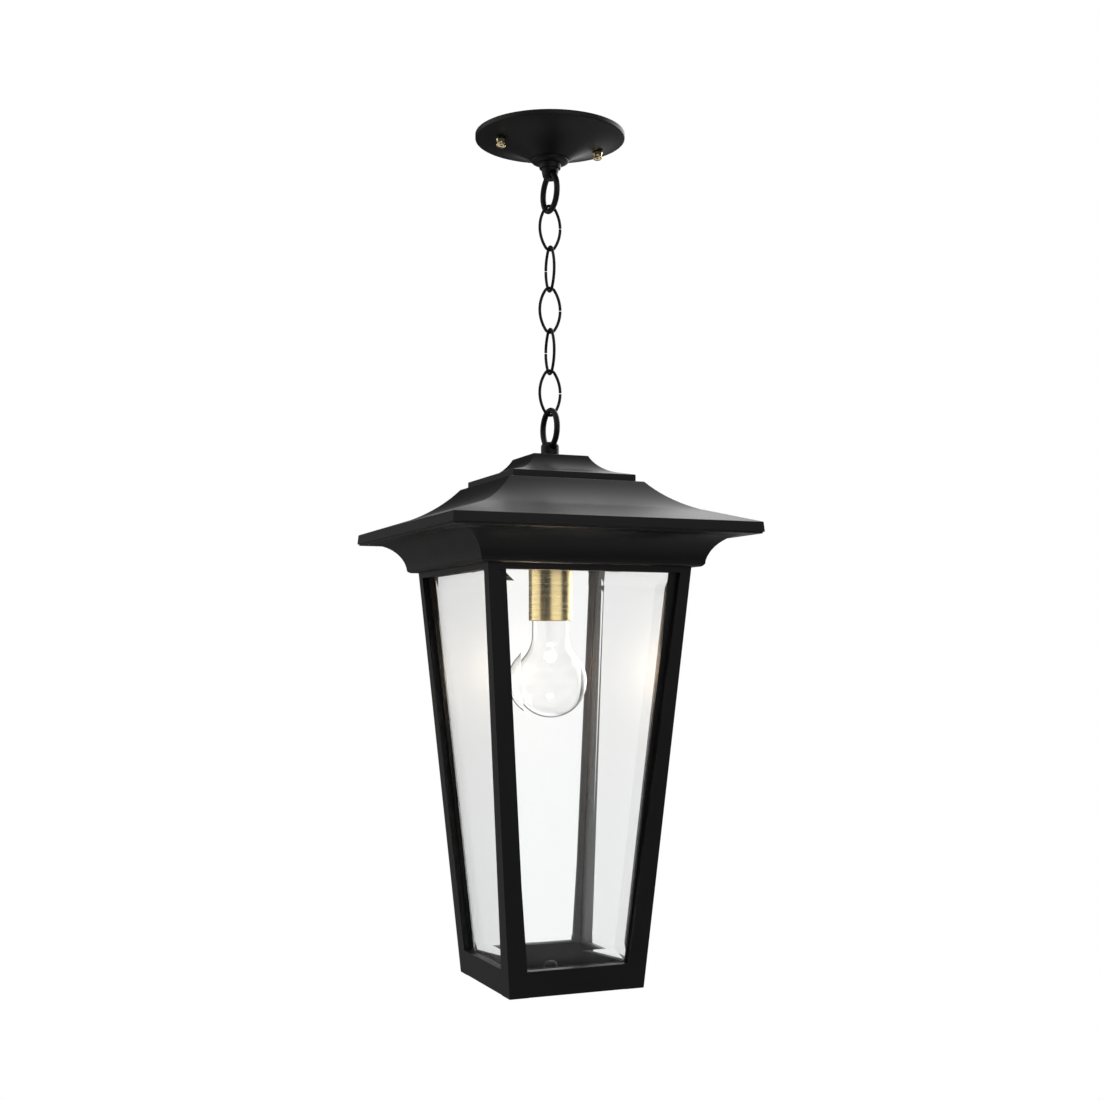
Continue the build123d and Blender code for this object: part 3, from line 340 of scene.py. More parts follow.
def satin_black(graph, look, cloud, peel, spread, drift, depth):
    """Satin black powder coat: an even colour with a fine orange peel."""
    dark, light = shade(look.coat_colour, 1 - spread), shade(look.coat_colour, 1 + spread)
    graph.surface({
        "Base Color": graph.blend(cloud, dark, light),
        "Roughness": look.coat_roughness + (cloud - 0.5) * drift + (peel - 0.5) * 0.08,
        "Specular IOR Level": look.coat_gloss,
        "Normal": graph.bump(peel, depth),
    })


def sheet_coat(graph, look):
    """Black coat on sheet and wire."""
    cloud = graph.grain(35.0, detail=3.0)
    satin_black(graph, look, cloud, graph.grain(900.0), spread=0.2, drift=0.12, depth=0.000004)


def cast_coat(graph, look):
    """Black coat on cast aluminium, a little less even."""
    cloud = graph.grain(22.0, detail=4.0)
    satin_black(graph, look, cloud, graph.grain(700.0), spread=0.25, drift=0.14, depth=0.000005)


def metal(graph, colour, grain, rough, spread, depth):
    """Bare metal whose colour and gloss follow a grain."""
    graph.surface({
        "Base Color": graph.blend(grain, shade(colour, 1 - spread), colour),
        "Metallic": 1.0,
        "Roughness": rough + (grain - 0.5) * rough,
        "Normal": graph.bump(grain, depth),
    })


def zinc_plate(graph, look):
    grain = graph.grain(260.0, detail=4.0)
    metal(graph, look.zinc_colour, grain, rough=0.34, spread=0.2, depth=0.00002)


def green_plate(graph, look):
    grain = graph.grain(300.0, detail=3.0)
    metal(graph, look.ground_colour, grain, rough=0.36, spread=0.25, depth=0.00002)


def polished_brass(graph, look):
    grain = graph.grain(420.0, detail=3.0)
    metal(graph, look.nut_colour, grain, rough=0.07, spread=0.1, depth=0.000002)


def plain_brass(graph, look):
    grain = graph.grain(350.0, detail=3.0)
    metal(graph, look.contact_colour, grain, rough=0.3, spread=0.18, depth=0.00001)


def rolled_metal(graph, look):
    grain = graph.grain(1.0, detail=3.0, stretch=(90.0, 90.0, 500.0))
    metal(graph, look.base_colour, grain, rough=0.3, spread=0.15, depth=0.00001)


def brushed_brass(graph, look):
    """Brass brushed round the sleeve: fine level lines that break up."""
    streak = graph.grain(1.0, detail=3.0, stretch=(45.0, 45.0, 600.0))
    line = graph.between(streak, 0.25, 0.75)
    tone = line * 0.75 + graph.grain(60.0, detail=3.0) * 0.25
    graph.surface({
        "Base Color": graph.blend(tone, shade(look.sleeve_colour, 0.72), shade(look.sleeve_colour, 1.08)),
        "Metallic": 1.0,
        "Roughness": 0.19 + line * 0.1,
        "Normal": graph.bump(line, 0.000008, strength=0.6),
    })


def moulding(graph, look):
    """Moulded insulator with a fine dull grain."""
    grain = graph.grain(500.0, detail=3.0)
    graph.surface({
        "Base Color": graph.blend(grain, shade(look.holder_colour, 0.7), shade(look.holder_colour, 1.3)),
        "Roughness": 0.5 + (grain - 0.5) * 0.2,
        "Normal": graph.bump(grain, 0.00003),
    })


def pane(graph, look):
    """Clear pane with a soft sheen."""
    haze = graph.grain(14.0, detail=5.0)
    graph.clear_surface({
        "Base Color": graph.blend(haze, shade(look.pane_colour, 0.985), look.pane_colour),
        "Roughness": 0.0,
        "IOR": PANE_INDEX,
        "Transmission Weight": 1.0,
        "Specular Tint": (0.0, 0.0, 0.0),
        "Coat Weight": look.pane_sheen,
        "Coat Roughness": look.pane_softness,
    })


def lamp_shell(graph, look):
    """Blown glass of the lamp, faintly uneven."""
    flow = graph.grain(45.0)
    graph.clear_surface({
        "Base Color": graph.blend(flow, shade(look.lamp_colour, 0.99), look.lamp_colour),
        "Roughness": flow * 0.008,
        "IOR": LAMP_INDEX,
        "Transmission Weight": 1.0,
    })


def mount_glass(graph, look):
    """Thin glass of the lamp's mount, almost lost inside the envelope."""
    flow = graph.grain(60.0)
    graph.clear_surface({
        "Base Color": graph.blend(flow, shade(look.lamp_colour, 0.985), look.lamp_colour),
        "Roughness": 0.0,
        "IOR": MOUNT_INDEX,
        "Transmission Weight": 1.0,
    })


def hot_wire(graph, look):
    """Drawn tungsten wire, lit."""
    grain = graph.grain(3000.0)
    graph.surface({
        "Base Color": graph.blend(grain, *FILAMENT_TONES),
        "Metallic": 1.0,
        "Roughness": 0.4 + (grain - 0.5) * 0.2,
        "Emission Color": graph.blend(grain, shade(look.glow_colour, 0.85), look.glow_colour),
        "Emission Strength": look.glow_level,
    })


def nickel_wire(graph, look):
    grain = graph.grain(900.0, detail=3.0)
    metal(graph, look.wire_colour, grain, rough=0.25, spread=0.15, depth=0.000005)


COATS = {
    "black_sheet": sheet_coat, "black_cast": cast_coat, "zinc_steel": zinc_plate,
    "green_screw": green_plate, "polished_brass": polished_brass, "aged_brass": brushed_brass,
    "contact_brass": plain_brass, "moulded_insulator": moulding, "pane_glass": pane,
    "lamp_glass": lamp_shell, "lamp_base_metal": rolled_metal, "filament_metal": hot_wire,
    "lead_metal": nickel_wire, "mount_glass": mount_glass,
}


def finish(slot):
    """The material of a finish, made once."""
    made = bpy.data.materials.get(slot + "_finish")
    if made is None:
        made = bpy.data.materials.new(slot + "_finish")
        made.use_nodes = True
        COATS[slot](Graph(made.node_tree), finishes())
    return made


def dress(*nodes):
    """Give CAD nodes that stay as they are their finish."""
    for node in nodes:
        mesh = frame["nodes"][node].data
        mesh.materials.clear()
        mesh.materials.append(finish(SLOTS[node]))


def placed(name, mesh):
    """New object of a mesh that holds its place in the shared frame."""
    piece = bpy.data.objects.new(name, mesh)
    bpy.context.scene.collection.objects.link(piece)
    return piece


def settle(piece):
    """Turn a piece with modifiers into a plain mesh."""
    graph = bpy.context.evaluated_depsgraph_get()
    finished = bpy.data.meshes.new_from_object(piece.evaluated_get(graph), depsgraph=graph)
    piece.modifiers.clear()
    piece.data = finished


def stand_in(piece, node):
    """Let a piece take the place and the motion of a CAD node, whose own mesh is hidden."""
    if not piece.data.polygons:
        raise RuntimeError(f"{piece.name} came out empty")
    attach(piece, frame["nodes"][node]["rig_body"])
    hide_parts(node)


def coated(piece, slot):
    """The piece, in the finish of a slot."""
    piece.data.materials.clear()
    piece.data.materials.append(finish(slot))
    return piece


def merged(node):
    """Copy of a CAD node's form with its loose triangles joined."""
    form = bmesh.new()
    form.from_mesh(frame["nodes"][node].data)
    bmesh.ops.remove_doubles(form, verts=form.verts, dist=WELD)
    return form


def mesh_of(form, name):
    """New mesh of a form that is done."""
    mesh = bpy.data.meshes.new(name)
    form.to_mesh(mesh)
    form.free()
    return mesh


def softened(node, width, skip=None):
    """Stand-in for a CAD node: its own form with rounded outer edges, apart from those to skip."""
    form = merged(node)
    bmesh.ops.dissolve_limit(form, angle_limit=FLAT, verts=form.verts, edges=form.edges)
    weight = form.edges.layers.float.new("bevel_weight_edge")
    for edge in form.edges:
        if len(edge.link_faces) != 2 or not edge.is_convex:
            continue
        middle = (edge.verts[0].co + edge.verts[1].co) / 2
        if edge.calc_face_angle() > CREASE and edge.calc_length() > width:
            edge[weight] = 0.0 if skip and skip(edge, middle) else 1.0
    mesh = mesh_of(form, node + "_finished")
    if "custom_normal" in mesh.attributes:
        mesh.attributes.remove(mesh.attributes["custom_normal"])
    mesh.shade_smooth()
    piece = placed(node + "_finished", mesh)
    edges = piece.modifiers.new("edges", "BEVEL")
    edges.width = width
    edges.segments = 2
    edges.limit_method = "WEIGHT"
    edges.use_clamp_overlap = False
    settle(piece)
    piece.data.set_sharp_from_angle(angle=CREASE)
    flats = piece.modifiers.new("flats", "WEIGHTED_NORMAL")
    flats.keep_sharp = True
    settle(piece)
    stand_in(coated(piece, SLOTS[node]), node)


def turned(name, outline, steps, center=(0, 0)):
    """Turned or blown form: a closed half outline spun about an upright axis."""
    form = bmesh.new()
    rim = [form.verts.new((center[0] + x, center[1], z)) for x, z in outline]
    pairs = [(rim[at - 1], rim[at]) for at in range(len(rim))
             if outline[at - 1][0] > 0 or outline[at][0] > 0]
    loop = [form.edges.new(pair) for pair in pairs]
    bmesh.ops.spin(form, geom=rim + loop, cent=(*center, 0), axis=(0, 0, 1), angle=2 * pi,
                   steps=steps, use_duplicate=False)
    bmesh.ops.remove_doubles(form, verts=form.verts, dist=WELD)
    bmesh.ops.recalc_face_normals(form, faces=form.faces)
    mesh = mesh_of(form, name)
    mesh.shade_smooth()
    mesh.set_sharp_from_angle(angle=CREASE)
    return placed(name, mesh)


def arc(center, radius, start, sweep, steps):
    """Points of an arc in a plane, ends included; radius may be (across, up)."""
    across, up = radius if isinstance(radius, tuple) else (radius, radius)
    angles = [start + sweep * step / steps for step in range(steps + 1)]
    return [(center[0] + across * cos(angle), center[1] + up * sin(angle)) for angle in angles]


def path_mesh(name, *paths, closed=False):
    """Mesh of edges along one or more paths of points, for a tree that follows them."""
    points = []
    edges = []
    for path in paths:
        first = len(points)
        last = first + len(path) - 1
        points.extend(path)
        edges.extend((at, at + 1) for at in range(first, last))
        if closed:
            edges.append((last, first))
    mesh = bpy.data.meshes.new(name)
    mesh.from_pydata(points, edges, [])
    return mesh


def new_tree(name, inputs):
    """Empty Geometry Nodes tree with named inputs. Gives its graph and its input node."""
    tree = bpy.data.node_groups.new(name, "GeometryNodeTree")
    tree.interface.new_socket("Geometry", in_out="INPUT", socket_type="NodeSocketGeometry")
    for socket, kind in inputs.items():
        tree.interface.new_socket(socket, in_out="INPUT", socket_type=kind)
    tree.interface.new_socket("Geometry", in_out="OUTPUT", socket_type="NodeSocketGeometry")
    graph = Graph(tree)
    return graph, graph.node("NodeGroupInput")


def close_tree(graph, geometry, entry):
    """End of a tree: real geometry in its finish."""
    real = graph.node("GeometryNodeRealizeInstances", {}, {"Geometry": geometry})
    smooth = graph.node("GeometryNodeSetShadeSmooth", {}, {"Geometry": real})
    done = graph.node("GeometryNodeSetMaterial", {},
                      {"Geometry": smooth, "Material": entry.out("Finish")})
    graph.node("NodeGroupOutput", {}, {"Geometry": done})
    return graph.tree


def bent_wire_tree():
    """Round wire along a path."""
    made = bpy.data.node_groups.get("bent_wire")
    if made:
        return made
    graph, entry = new_tree("bent_wire", {"Wire Radius": "NodeSocketFloat", "Wire Facets": "NodeSocketInt",
                                          "Finish": "NodeSocketMaterial"})
    path = graph.node("GeometryNodeMeshToCurve", {}, {"Mesh": entry.out("Geometry")})
    section = graph.node("GeometryNodeCurvePrimitiveCircle", {"mode": "RADIUS"},
                         {"Resolution": entry.out("Wire Facets"), "Radius": entry.out("Wire Radius")})
    wire = graph.node("GeometryNodeCurveToMesh", {},
                      {"Curve": path, "Profile Curve": section, "Fill Caps": True})
    return close_tree(graph, wire, entry)


def screw_tree():
    """One screw on each point, turned over where the point says so."""
    graph, entry = new_tree("screws", {"Screw": "NodeSocketObject", "Finish": "NodeSocketMaterial"})
    screw = graph.node("GeometryNodeObjectInfo", {}, {"Object": entry.out("Screw")}, "Geometry")
    flip = graph.node("GeometryNodeInputNamedAttribute", {"data_type": "FLOAT"}, {"Name": "flip"})
    turn = graph.node("ShaderNodeCombineXYZ", {}, {"X": flip})
    screws = graph.node("GeometryNodeInstanceOnPoints", {},
                        {"Points": entry.out("Geometry"), "Instance": screw, "Rotation": turn})
    return close_tree(graph, screws, entry)


def grown(piece, tree, inputs):
    """Run a tree on a piece's mesh and keep the result as a plain mesh."""
    modifier = piece.modifiers.new(tree.name, "NODES")
    modifier.node_group = tree
    for socket in tree.interface.items_tree:
        if socket.in_out == "INPUT" and socket.name in inputs:
            modifier[socket.identifier] = inputs[socket.name]
    settle(piece)
    form = bmesh.new()
    form.from_mesh(piece.data)
    bmesh.ops.remove_doubles(form, verts=form.verts, dist=WELD)
    bmesh.ops.recalc_face_normals(form, faces=form.faces)
    form.to_mesh(piece.data)
    form.free()
    piece.data.set_sharp_from_angle(angle=CREASE)
    return piece


def bent_wire(name, slot, radius, *paths, closed=False, facets=None):
    """Round wire along one or more paths, as a plain mesh."""
    piece = placed(name, path_mesh(name, *paths, closed=closed))
    return grown(piece, bent_wire_tree(), {
        "Wire Radius": radius, "Wire Facets": facets or details().wire_facets, "Finish": finish(slot)})


def islands(node):
    """Vertices of each separate solid of a CAD node."""
    form = merged(node)
    left = set(form.verts)
    groups = []
    while left:
        reach = [left.pop()]
        group = []
        while reach:
            vertex = reach.pop()
            group.append(vertex.co.copy())
            near = {edge.other_vert(vertex) for edge in vertex.link_edges} & left
            left -= near
            reach.extend(near)
        groups.append(group)
    form.free()
    return groups


class LANTERN_OT_ceiling_mount(Operator):
    """Canopy, collar and loop, and the strap and studs inside the canopy"""

    bl_idname = "lantern.ceiling_mount"
    bl_label = "Ceiling mount"

    def execute(self, context):
        for node in ("canopy", "screw_collar", "canopy_loop"):
            softened(node, details().sheet_round)
        dress("mounting_strap", "canopy_studs", "ground_screw", "canopy_washer", "canopy_lock_nut")
        return {"FINISHED"}


class LANTERN_OT_cap_nuts(Operator):
    """Turned cap nuts under the canopy: a tapered flange, a neck and a dome"""

    bl_idname = "lantern.cap_nuts"
    bl_label = "Cap nuts"

    flange_share: share_setting("Flange share", "Share of a nut's height in its flange", 0.514)
    flange_foot: share_setting(
        "Flange foot", "Width of the flange at its foot over its width on top", 0.76)
    neck_share: share_setting("Neck share", "Share of a nut's height above its dome", 0.6)
    neck_width: share_setting("Neck width", "Width of the neck over the width of the nut", 0.64)
    crown_share: share_setting("Crown share", "Share of a nut's height in the round of its dome", 0.3)

    def execute(self, context):
        for node in ("cap_nut_left", "cap_nut_right"):
            low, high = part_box(node)
            middle = (low + high) / 2
            radius = (high.x - low.x) / 2
            height = high.z - low.z
            edge = details().sheet_round
            flange = high.z - height * self.flange_share
            foot = radius * self.flange_foot
            neck = high.z - height * self.neck_share
            waist = radius * self.neck_width
            crown = low.z + height * self.crown_share
            outline = [(0, high.z), (radius - edge, high.z), (radius, high.z - edge), (foot, flange + edge),
                       (foot - edge, flange), (waist, flange), (waist, neck)]
            outline += arc((waist, crown), (radius - waist, neck - crown), pi / 2, -pi / 2, NECK_STEPS)[1:]
            outline += arc((0, crown), (radius, crown - low.z), 0, -pi / 2, DOME_STEPS)[1:]
            body = turned(node + "_finished", outline, NUT_FACETS, (middle.x, middle.y))
            stand_in(coated(body, SLOTS[node]), node)
        return {"FINISHED"}


class LANTERN_OT_chain(Operator):
    """Two round rings and five oval links of bent wire"""

    bl_idname = "lantern.chain"
    bl_label = "Chain"

    def execute(self, context):
        for node in ("top_ring", "bottom_ring"):
            low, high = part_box(node)
            wire = (high.x - low.x) / 2
            radius = (high.z - low.z) / 2 - wire
            middle = (low + high) / 2
            round_path = arc((middle.y, middle.z), radius, 0, 2 * pi, 4 * details().bend_steps)[:-1]
            points = [(middle.x, y, z) for y, z in round_path]
            stand_in(bent_wire(node + "_finished", SLOTS[node], wire, points, closed=True), node)
        for node in LINKS:
            stand_in(self.link(node), node)
        return {"FINISHED"}

    def link(self, node):
        """Wire of one link on four tangent arcs, with its slit at one side."""
        low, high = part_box(node)
        size = high - low
        middle = (low + high) / 2
        wire = min(size.x, size.y) / 2
        half_width = max(size.x, size.y) / 2 - wire
        end = details().link_end_radius
        shift = size.z / 2 - wire - end
        side = (half_width ** 2 + shift ** 2 - end ** 2) / (2 * (half_width - end))
        offset = side - half_width
        turn = atan2(shift, offset)
        slit = details().link_slit / 2 / side
        steps = details().bend_steps
        bend = arc((-offset, 0), side, slit, turn - slit, steps)
        bend += arc((0, shift), end, turn, pi - 2 * turn, steps)[1:]
        bend += arc((offset, 0), side, pi - turn, 2 * turn, 2 * steps)[1:]
        bend += arc((0, -shift), end, pi + turn, pi - 2 * turn, steps)[1:]
        bend += arc((-offset, 0), side, -turn, turn - slit, steps)[1:]
        heading = Vector((1, 0, 0)) if size.x > size.y else Vector((0, 1, 0))
        points = [middle + heading * across + Vector((0, 0, up)) for across, up in bend]
        return bent_wire(node + "_finished", SLOTS[node], wire, points)


class LANTERN_OT_roof(Operator):
    """Loop, two roof tiers and the cove under the eave"""

    bl_idname = "lantern.roof"
    bl_label = "Roof"

    def execute(self, context):
        softened("roof_loop", details().sheet_round)
        softened("roof_upper_tier", details().edge_round)
        softened("roof_lower_tier", details().edge_round, self.inner_foot)
        softened("cove_moulding", details().edge_round, self.top_face)
        dress("threaded_tube")
        return {"FINISHED"}

    def inner_foot(self, edge, middle):
        """True where the edge runs round the foot of the eave's wall, on the inside."""
        low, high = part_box("roof_lower_tier")
        inside = max(abs(middle.x), abs(middle.y)) < high.x - EAVE_INSET
        return inside and middle.z < low.z + FOOT_REACH

    def top_face(self, edge, middle):
        """True where the edge runs round the thin flange under the eave."""
        return middle.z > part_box("cove_moulding")[1].z - FLANGE_REACH


class LANTERN_OT_cage(Operator):
    """Corner posts, rails, base plate and its stud"""

    bl_idname = "lantern.cage"
    bl_label = "Cage"

    stud_end: share_setting("Stud end", "Width of the stud's end over the width of its foot", 0.8)
    stud_dome: share_setting("Stud dome", "Height of the domed end over its radius", 0.7)

    def execute(self, context):
        for corner in CORNERS:
            softened("corner_post_" + corner, details().edge_round, self.not_outer_corner)
        for side in SIDES:
            softened("bottom_rail_" + side, details().edge_round, self.not_foot)
            softened("top_rail_" + side, details().edge_round, self.every_edge)
        softened("base_plate", details().sheet_round)
        stand_in(coated(self.stud(), SLOTS["base_stud"]), "base_stud")
        return {"FINISHED"}

    def stud(self):
        """Tapered stud in the middle of the floor, with a domed end."""
        low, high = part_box("base_stud")
        foot = (high.x - low.x) / 2
        end = foot * self.stud_end
        dome = end * self.stud_dome
        outline = arc((0, high.z - dome), (end, dome), pi / 2, -pi / 2, DOME_STEPS)
        outline[0] = (0, high.z)
        outline += [(foot, low.z), (0, low.z)]
        return turned("base_stud_finished", outline, STUD_FACETS)

    def not_outer_corner(self, edge, middle):
        """True unless the edge runs down the outer corner of a post."""
        upright = abs(edge.verts[0].co.z - edge.verts[1].co.z) > POST_RUN
        return not (upright and abs(abs(middle.x) - abs(middle.y)) < CORNER_REACH)

    def not_foot(self, edge, middle):
        """True unless the edge runs level along the sill."""
        return abs(edge.verts[0].co.z - edge.verts[1].co.z) > WELD

    def every_edge(self, edge, middle):
        """True for any edge of a rail that stays sharp."""
        return True


class LANTERN_OT_glazing(Operator):
    """Bevelled panes and the clips that hold them"""

    bl_idname = "lantern.glazing"
    bl_label = "Glazing"

    def execute(self, context):
        dress(*["glass_" + side for side in SIDES], "glass_clips")
        return {"FINISHED"}


class LANTERN_OT_fasteners(Operator):
    """Screws with cross recesses"""

    bl_idname = "lantern.fasteners"
    bl_label = "Fasteners"

    head_edge: share_setting("Head edge", "Rounding of a head over its height", 0.5)
    recess_reach: share_setting(
        "Recess reach", "Half length of the cross recess over the head's radius", 0.6)
    recess_width: share_setting(
        "Recess width", "Half width of the cross recess over the head's radius", 0.12)
    recess_depth: share_setting("Recess depth", "Depth of the cross recess over the head's height", 0.6)

    def execute(self, context):
        tree = screw_tree()
        for node in ("base_screws", "frame_screws", "clip_screws"):
            self.screws(node, tree)
        return {"FINISHED"}

    def screws(self, node, tree):
        """All the screws of one node, on the places of their solids."""
        groups = islands(node)
        spots = [self.spot(group) for group in groups]
        screw = self.screw(node, groups[0], *spots[0])
        mesh = bpy.data.meshes.new(node + "_finished")
        mesh.from_pydata([place for place, head_up in spots], [], [])
        flip = mesh.attributes.new("flip", "FLOAT", "POINT")
        flip.data.foreach_set("value", [0.0 if head_up else pi for place, head_up in spots])
        piece = placed(node + "_finished", mesh)
        grown(piece, tree, {"Screw": screw, "Finish": finish(SLOTS[node])})
        bpy.data.objects.remove(screw)
        stand_in(piece, node)

    def spot(self, group):
        """Middle of the face of a screw's head, and whether the head is on top."""
        low = Vector([min(point[axis] for point in group) for axis in range(3)])
        high = Vector([max(point[axis] for point in group) for axis in range(3)])
        middle = (low + high) / 2
        widest = max(group, key=lambda point: hypot(point.x - middle.x, point.y - middle.y))
        head_up = widest.z > middle.z
        return Vector((middle.x, middle.y, high.z if head_up else low.z)), head_up

    def screw(self, node, group, place, head_up):
        """One screw, head up, with the middle of its head's face at the origin."""
        way = 1 if head_up else -1
        sizes = [(hypot(p.x - place.x, p.y - place.y), (place.z - p.z) * way) for p in group]
        head = max(radius for radius, depth in sizes)
        length = max(depth for radius, depth in sizes)
        shank = max(radius for radius, depth in sizes if depth > length - WELD)
        under = max(depth for radius, depth in sizes if radius > head - 10 * WELD)
        edge = under * self.head_edge
        outline = [(0, 0)] + arc((head - edge, -edge), edge, pi / 2, -pi / 2, HEAD_STEPS)
        outline += [(head, -under), (shank, -under), (shank, -length), (0, -length)]
        body = turned(node + "_pattern", outline, SCREW_FACETS)
        cutter = self.cross(head * self.recess_reach, head * self.recess_width, under * self.recess_depth)
        recess = body.modifiers.new("recess", "BOOLEAN")
        recess.operation = "DIFFERENCE"
        recess.object = cutter
        settle(body)
        bpy.data.objects.remove(cutter)
        return body

    def cross(self, reach, width, depth):
        """Cutter in the form of a cross, from just above the head's face down to depth."""
        quarter = [(reach, -width), (reach, width), (width, width)]
        plan = []
        for turn in range(4):
            spin = Matrix.Rotation(turn * pi / 2, 2)
            plan += [spin @ Vector(corner) for corner in quarter]
        form = bmesh.new()
        face = form.faces.new([form.verts.new((corner.x, corner.y, -depth)) for corner in plan])
        raised = bmesh.ops.extrude_face_region(form, geom=[face])
        top = [item for item in raised["geom"] if isinstance(item, bmesh.types.BMVert)]
        bmesh.ops.translate(form, verts=top, vec=(0, 0, 2 * depth))
        bmesh.ops.recalc_face_normals(form, faces=form.faces)
        return placed("cross_cutter", mesh_of(form, "cross_cutter"))


class LANTERN_OT_lamp_carrier(Operator):
    """Bridge, brass sleeve and lampholder"""

    bl_idname = "lantern.lamp_carrier"
    bl_label = "Lamp carrier"

    def execute(self, context):
        softened("socket_sleeve", details().sheet_round)
        softened("socket_bridge", details().sheet_round)
        dress("bridge_washer", "bridge_nut", "lampholder_cap", "lampholder_body", "screw_shell",
              "centre_contact")
        return {"FINISHED"}


class LANTERN_OT_lamp(Operator):
    """Clear lamp: envelope, base, mount, lead wires and coiled filament"""

    bl_idname = "lantern.lamp"
    bl_label = "Lamp"

    stem_tube: length_setting("Mount tube", "Radius of the glass mount's tube", 0.004)
    stem_pinch: length_setting("Mount pinch", "Radius of the pinched end of the mount", 0.0024)
    stem_flare: length_setting("Mount flare", "Height of the flare at the mount's foot", 0.011)
    stem_wall: length_setting("Mount wall", "Wall of the mount's tube", 0.0006)
    lead_spacing: length_setting("Lead spacing", "Distance of the lead wires in the pinch", 0.0024)
    lead_radius: length_setting("Lead radius", "Radius of a lead wire", 0.00012)
    coil_steps: IntProperty(
        name="Coil steps", description="Points on each turn of the filament", default=10)

    def execute(self, context):
        stand_in(coated(self.envelope(), "lamp_glass"), "bulb_glass")
        stand_in(coated(self.mount(), "mount_glass"), "bulb_stem")
        stand_in(self.leads(), "lead_wires")
        stand_in(self.coil(), "filament")
        softened("bulb_base", details().sheet_round)
        return {"FINISHED"}

    def envelope(self):
        """Bulb, flared neck and foot, as one thin closed wall."""
        low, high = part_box("bulb_glass")
        base_low, base_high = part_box("bulb_base")
        size = details()
        radius = (high.x - low.x) / 2
        center = low.z + radius
        foot = (base_high.x - base_low.x) / 2
        blend = size.lamp_blend
        flare = (radius * cos(blend) - size.lamp_neck) / (1 - cos(blend))
        flare_z = center + (radius + flare) * sin(blend)

        def wall(inset):
            line = arc((0, center), radius - inset, -pi / 2, pi / 2 + blend, BULB_STEPS)
            line[0] = (0, line[0][1])
            shoulder = (size.lamp_neck + flare, flare_z)
            line += arc(shoulder, flare + inset, pi + blend, -blend, SHOULDER_STEPS)[1:]
            line += [(size.lamp_neck - inset, high.z - size.lamp_taper), (foot - inset, high.z)]
            return line

        outline = wall(0) + wall(size.lamp_wall)[::-1]
        return turned("lamp_envelope", outline, size.turn_steps)

    def mount(self):
        """Flared glass tube that closes in a pinch over the lead wires."""
        low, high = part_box("bulb_stem")
        rim = (high.x - low.x) / 2
        wall = self.stem_wall
        bend = high.z - self.stem_flare

        def side(inset):
            size = (rim - self.stem_tube, self.stem_flare)
            flare = arc((rim - inset, bend), size, pi / 2, pi / 2, FLARE_STEPS)
            return flare + [(self.stem_tube - inset, low.z + 2 * self.stem_tube),
                            (self.stem_pinch - inset, low.z + inset)]

        outline = side(0) + [(0, low.z), (0, low.z + self.stem_tube)] + side(wall)[:-1][::-1]
        return turned("lamp_mount", outline, MOUNT_FACETS)

    def leads(self):
        """Two wires that spread from the pinch to the ends of the filament."""
        low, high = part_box("lead_wires")
        coil_low, coil_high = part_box("filament")
        radius = self.lead_radius
        reach = (coil_high.x - coil_low.x) / 2 - radius
        steps = details().bend_steps
        paths = []
        for way in (-1, 1):
            path = []
            for step in range(steps + 1):
                share = step / steps
                across = self.lead_spacing / 2 + (reach - self.lead_spacing / 2) * share
                path.append((way * across, 0, high.z + (low.z + radius - high.z) * share))
            paths.append(path)
        return bent_wire("lead_wires_finished", "lead_metal", radius, *paths, facets=LEAD_FACETS)

    def coil(self):
        """Filament wound on an arch between the lead wires."""
        low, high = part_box("filament")
        wire = details().coil_wire
        turns = details().coil_turns
        reach = (high.x - low.x) / 2
        thick = (high.y - low.y) / 2
        rise = high.z - low.z - 2 * thick
        points = []
        for step in range(turns * self.coil_steps + 1):
            share = 2 * step / (turns * self.coil_steps) - 1
            middle = Vector((reach * share, 0, low.z + thick + rise * share ** 2))
            along = Vector((reach, 0, 2 * rise * share)).normalized()
            outward = Vector((-along.z, 0, along.x))
            angle = 2 * pi * step / self.coil_steps
            swing = outward * cos(angle) + Vector((0, 1, 0)) * sin(angle)
            points.append(middle + swing * (thick - wire))
        return bent_wire("filament_finished", "filament_metal", wire, points, facets=COIL_FACETS)


